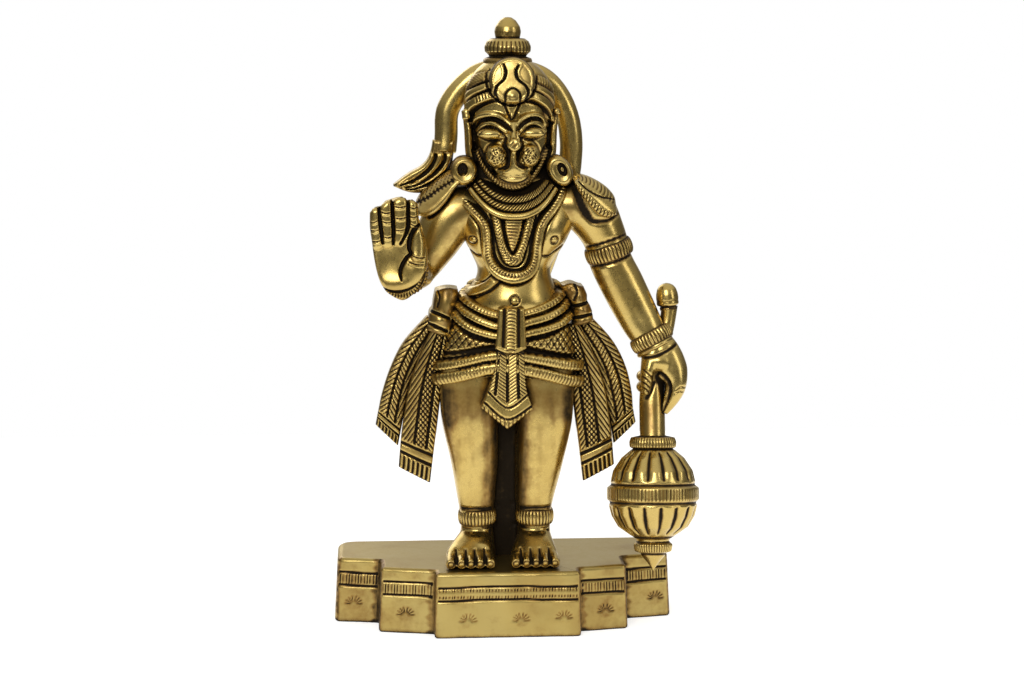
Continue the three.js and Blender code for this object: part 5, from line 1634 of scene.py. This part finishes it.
# %% Tuft of the tail
TUFT_OUT = [(-19.6, 116.4), (-20.4, 112.6), (-22.5, 109.6), (-26.0, 107.6), (-28.6, 105.7), (-30.4, 104.3)]
TUFT_IN = [(-13.6, 116.4), (-14.1, 112.0), (-15.0, 108.2), (-17.4, 105.4), (-20.0, 102.8), (-24.3, 102.0),
           (-28.4, 102.9), (-30.4, 103.9)]
LOCK_EDGES = (
    [(-18.9, 112.4), (-19.2, 110.8), (-21.2, 108.0), (-24.5, 105.7), (-28.4, 104.2)],
    [(-16.4, 112.4), (-16.5, 110.7), (-18.7, 108.0), (-21.4, 105.7), (-24.5, 104.1), (-27.0, 103.6)],
    [(-14.2, 112.0), (-15.6, 108.4), (-18.3, 106.0), (-21.2, 104.2), (-24.5, 103.2), (-26.8, 103.1)])
LOCKS = (
    ([(-20.4, 112), (-22.0, 108.8), (-25.4, 106.6), (-29.0, 104.6)], 2.6),
    ([(-17.6, 112), (-19.8, 108.2), (-23.0, 105.3), (-27.0, 104.0)], 2.4),
    ([(-15.2, 112), (-17.0, 108.0), (-20.4, 105.2), (-25.0, 103.6)], 2.2))


def carve_tuft(c):
    c.cuts(LOCK_EDGES, (0.7, 0.9, 0.9, 0.7, 0.4), 0.9, 1.2)
    for path, wide in LOCKS:
        c.ridge(path, wide, 0.7)
    hair = ticks(FULL_TURN * c.u * 13, 2)
    c.rise -= 0.1 * hair
    c.black += 0.2 * hair + 0.34


keep(plate("tail_tuft", spread(TUFT_OUT, 9), spread(TUFT_IN, 9), lambda x, z, u, v: 3.2 + 0.8 * v, 4.8,
           carve_tuft, cell=0.22, rim=0.9))

# %% [markdown]
# The plinth's outline comes from the packed model: on each side a centre block, a middle block and an end
# block step back one after another. The outline is walked round once, in fine steps along the front, which
# will be engraved, and in coarse ones along the plain back.

# %% Outline of the plinth
BLOCKS = {1: [(0, 19.3, -20, -20), (19.3, 32.8, -15.4, -12.78), (32.8, 46.2, -3.0, -0.4)],
          -1: [(0, 20.5, -20, -20), (20.5, 35.5, -15.6, -12.25), (35.5, 47.7, -3.0, -0.63)]}
BACK_CORNER = ((0, 17.0), (0.9, 19.1), (3, 20.0))
BACK = 9
FINE_STEP, COARSE_STEP = 0.36, 0.8


def plinth_outline():
    """Points round the plinth, and how far each is from the end of its front face, or -1 off a front."""
    halves = []
    for side in (1, -1):
        half = []
        for index, (x0, x1, y0, y1) in enumerate(BLOCKS[side]):
            half += [(side * x0, y0, index), (side * x1, y1, index)]
        edge = BLOCKS[side][-1][1]
        half += [(side * (edge - inset), y, BACK) for inset, y in BACK_CORNER]
        halves.append(half[1:])
    loop = halves[0] + halves[1][::-1]
    points, margins = [], []
    for (x0, y0, face0), (x1, y1, face1) in zip(loop, loop[1:] + loop[:1]):
        length = math.hypot(x1 - x0, y1 - y0)
        count = max(int(length / (FINE_STEP if max(face0, face1) < BACK else COARSE_STEP)), 1)
        for n in range(count):
            points.append((x0 + (x1 - x0) * n / count, y0 + (y1 - y0) * n / count))
            margins.append(min(n, count - n) / count * length if face0 == face1 < BACK else -1.0)
    return np.array(points), np.array(margins)


print("the plinth's outline has", len(plinth_outline()[0]), "points")

# %% [markdown]
# Two dark grooves run round each block with a hatched band between them, and a small fan of punch marks sits
# low on each block. Dirt stays in the corners where one block meets the next and along the foot, and the
# upper edge is rubbed bright.

# %% Marks on the plinth's front
PLINTH_TOP = FOOT
FANS = ((-11.4, 4.4), (2.9, 4.4), (14.6, 4.9), (-28.4, 4.9), (-42.6, 5.0), (26.6, 4.9), (42.0, 5.0))
FAN_DEGREES = (170, 148, 126, 104, 76, 54, 32, 10)
FAN_RADIUS = 1.7
STEPS_BACK = ((-47.2, 1.2), (-35.5, 2.6), (-20.5, 2.6), (19.3, 2.4), (32.8, 2.4), (46.0, 1.2))


def carve_blocks(c, walked, face):
    """The grooves and the hatched band, on the front faces alone."""
    below_top = c.z - PLINTH_TOP
    for level in (-3.9, -7.5):
        mark = peak(c.z - (PLINTH_TOP + level) - 0.12 * np.sin(walked / 5), 0.36, 4) * face
        c.rise -= 0.5 * mark
        c.black += 1.05 * mark
    band = ease((below_top + 7.2) / 0.3) * ease((PLINTH_TOP - 4.3 - c.z) / 0.3) * face
    centre_block = ease((20.3 - np.abs(c.x - 0.6)) / 0.3)
    tick = ticks(FULL_TURN * walked / 0.85, 1.3) * band
    tick *= 1 - centre_block * peak(below_top + 5.75, 0.55, 4)
    c.rise -= 0.22 * tick
    c.black += (0.62 + 0.25 * centre_block) * tick


def punch_fans(c, front):
    for x, low in FANS:
        for turn in np.radians(FAN_DEGREES):
            dx = c.x - (x + FAN_RADIUS * math.cos(turn))
            dz = c.z - (low + FAN_RADIUS * math.sin(turn))
            along = dx * math.cos(turn) + dz * math.sin(turn)
            across = -dx * math.sin(turn) + dz * math.cos(turn)
            mark = np.exp(-((along / 0.9) ** 4) - (across / 0.22) ** 2) * front
            c.rise -= 0.2 * mark
            c.black += 0.24 * mark
        shell = np.hypot((c.x - x) / 2.9, (c.z - low - 0.7) / 2.4)
        c.black += 0.17 * ease((1 - shell) / 0.3) * front


def stain(c, near_front):
    c.black += 0.14 * ease((np.abs(c.x) - 20.6) / 6) + 0.07
    ragged = 0.8 * np.sin(1.3 * c.z + 2) + 0.5 * np.sin(2.9 * c.z)
    for step, width in STEPS_BACK:
        outside = c.x - step if step > 0 else step - c.x
        dirt = ease((width + 0.5 * ragged - outside) / 1.6) * ease((outside + 0.9) / 0.8)
        c.black += 0.55 * dirt * near_front
    c.black += 0.14 * ease((1.8 + 0.4 * ragged - c.z) / 1.4)
    c.black -= 0.12 * ease((c.z - PLINTH_TOP + 1.6) / 0.6)


print("punch marks on the plinth:", len(FANS) * len(FAN_DEGREES))

# %% [markdown]
# The block itself is rings again, one above another, a little smaller towards the top because a casting needs
# draft to leave its mould. The upper and lower edges are rounded, and the top and the underside are closed
# with rings that shrink to the middle.

# %% Plinth
DRAFT = math.tan(math.radians(3))
CORNER_ROUNDS, LEVELS = 14, 56
UNDERSIDE_SHARES = (0.1, 0.4, 0.8, 0.97)
TOP_SHARES = (0.985, 0.96, 0.92, 0.85, 0.75, 0.62, 0.48, 0.34, 0.2, 0.1)


def towards_middle(rim, shares):
    """Rings that shrink from a rim towards the plinth's middle."""
    middle = np.array([0.0, 6.0])
    rings = np.repeat(rim[None], len(shares), axis=0)
    rings[..., :2] = middle + (rim[:, :2] - middle) * np.array(shares)[:, None, None]
    return rings


def outward(points):
    """The direction straight out of the outline at each of its points."""
    tangent = np.roll(points, -1, 0) - np.roll(points, 1, 0)
    normal = np.stack([tangent[:, 1], -tangent[:, 0]], axis=1)
    normal /= np.linalg.norm(normal, axis=1)[:, None] + 1e-9
    return normal * np.sign(np.sum(normal * (points - (0.0, 4.0)), axis=1))[:, None]


def plinth():
    points, margin = plinth_outline()
    for _ in range(CORNER_ROUNDS):
        points = (np.roll(points, -1, 0) + 4 * points + np.roll(points, 1, 0)) / 6
    normal = outward(points)
    across, depth, walked = points[None, :, 0], points[None, :, 1], walked_along(points)[None, :]
    c = Carving(across, np.linspace(0, PLINTH_TOP, LEVELS)[:, None])
    face = ease((margin - 0.3) / 0.5)[None, :]
    carve_blocks(c, walked, face)
    punch_fans(c, depth < 0)
    stain(c, depth < 1)
    wobble = 0.10 * np.sin(walked / 3.1) * np.sin(c.z / 2.3) + 0.06 * np.sin(walked / 1.3 + 1)
    c.rise += wobble * face
    upper_edge = np.clip(1 - (PLINTH_TOP - c.z) / 1.0, 0, 1)
    lower_edge = np.clip(1 - c.z / 0.7, 0, 1)
    inset = 1.0 * (1 - np.sqrt(1 - upper_edge**2 * 0.99)) + 0.5 * (1 - np.sqrt(1 - lower_edge**2 * 0.99))
    lean = 1 - DRAFT * c.z / 46.0 * (np.abs(across) > 15.6)
    x = across * lean + normal[None, :, 0] * (c.rise - inset)
    y = depth + normal[None, :, 1] * (c.rise - inset)
    sides = np.stack([x, y, c.z], axis=-1)
    rings = np.concatenate([towards_middle(sides[0], UNDERSIDE_SHARES), sides,
                            towards_middle(sides[-1], TOP_SHARES)])
    rings[..., 2] -= DRAWN_FROM
    beyond = ((len(UNDERSIDE_SHARES), len(TOP_SHARES)), (0, 0))
    return ringed("stepped_plinth", rings, np.pad(c.hollows(), beyond))


stand = plinth()
print(stand.name, len(stand.data.polygons), "faces")

# %% [markdown]
# The floor is plain and pale, with a little light of its own so that it stays as white as a studio sweep.
# It could be a curved backdrop, but the camera sees only the floor and the white behind it.

# %% Floor
bpy.ops.mesh.primitive_plane_add(size=0.56, location=(0, 0, 0))
floor = bpy.context.object
floor.name = "floor"
paper = bpy.data.materials.new("paper")
paper.use_nodes = True
shader = paper.node_tree.nodes["Principled BSDF"]
shader.inputs["Base Color"].default_value = (0.80, 0.80, 0.80, 1)
shader.inputs["Roughness"].default_value = 0.9
shader.inputs["Emission Color"].default_value = (1, 1, 1, 1)
shader.inputs["Emission Strength"].default_value = 0.62
floor.data.materials.append(paper)
floor.select_set(False)
print("floor", [round(side, 2) for side in floor.dimensions])

# %% [markdown]
# Polished brass shows what is round it, so the surround is bright overhead and dim at eye level, which gives
# the dark edges that real brass has in a bright studio. Only the camera sees it as plain white.

# %% Surround
DIM_AT_EYE_LEVEL = (0.12, 0.115, 0.105)
BRIGHT_OVERHEAD = (0.75, 0.74, 0.70)
PALE_BEHIND = (0.70, 0.67, 0.60)
world = bpy.data.worlds.new("studio")
world.use_nodes = True
tree = world.node_tree
direction = add_node(tree, "ShaderNodeTexCoord", out="Generated")
height = add_node(tree, "ShaderNodeSeparateXYZ", None, {"Vector": direction}, out="Z")
depth = add_node(tree, "ShaderNodeSeparateXYZ", None, {"Vector": direction}, out="Y")
to_camera = add_node(tree, "ShaderNodeLightPath", out="Is Camera Ray")
surround = mix(tree, height.step(0.10, 0.95), DIM_AT_EYE_LEVEL, BRIGHT_OVERHEAD)
surround = mix(tree, depth.step(0.72, 0.98) * 0.8, surround, PALE_BEHIND)
background = tree.nodes["Background"]
tree.links.new(mix(tree, to_camera, surround, (1.0, 1.0, 1.0)).socket, background.inputs["Color"])
bpy.context.scene.world = world
print("surround", len(tree.nodes), "nodes")

# %% [markdown]
# Three soft lights are enough: a wide one from the front left and above, a weaker one from the right, and one
# from behind that keeps the back from going black.

# %% Lights
LIGHTS = {"key": ((-0.22, -0.80, 0.48), (0.45, 0.35), 3.3),
          "fill": ((0.65, -0.45, 0.30), (0.20, 0.45), 0.75),
          "back": ((-0.3, 0.8, 0.5), (0.5, 0.5), 1.3)}
AIMED_AT = Vector((0, 0, 0.08))
for name, (spot, size, power) in LIGHTS.items():
    lamp = bpy.data.objects.new(name, bpy.data.lights.new(name, "AREA"))
    bpy.context.collection.objects.link(lamp)
    lamp.data.shape = "RECTANGLE"
    lamp.data.size, lamp.data.size_y = size
    lamp.data.energy = power
    lamp.location = spot
    lamp.rotation_euler = (AIMED_AT - Vector(spot)).to_track_quat("-Z", "Y").to_euler()
    print("light", name, power, "W")
bpy.context.scene.view_settings.view_transform = "Standard"

# %% [markdown]
# Every piece takes its brass and rides on the one body, and the solid of the packed model that it stands for
# is hidden.

# %% Place the pieces in the frame
def dress(piece, node, material):
    piece.data.materials.clear()
    piece.data.materials.append(material)
    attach(piece, "root")
    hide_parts(node)


for piece in PIECES:
    dress(piece, "hanuman_figure", figure_brass)
dress(stand, "plinth", plinth_brass)
print("faces in all", sum(len(piece.data.polygons) for piece in (*PIECES, stand)))

# %% [markdown]
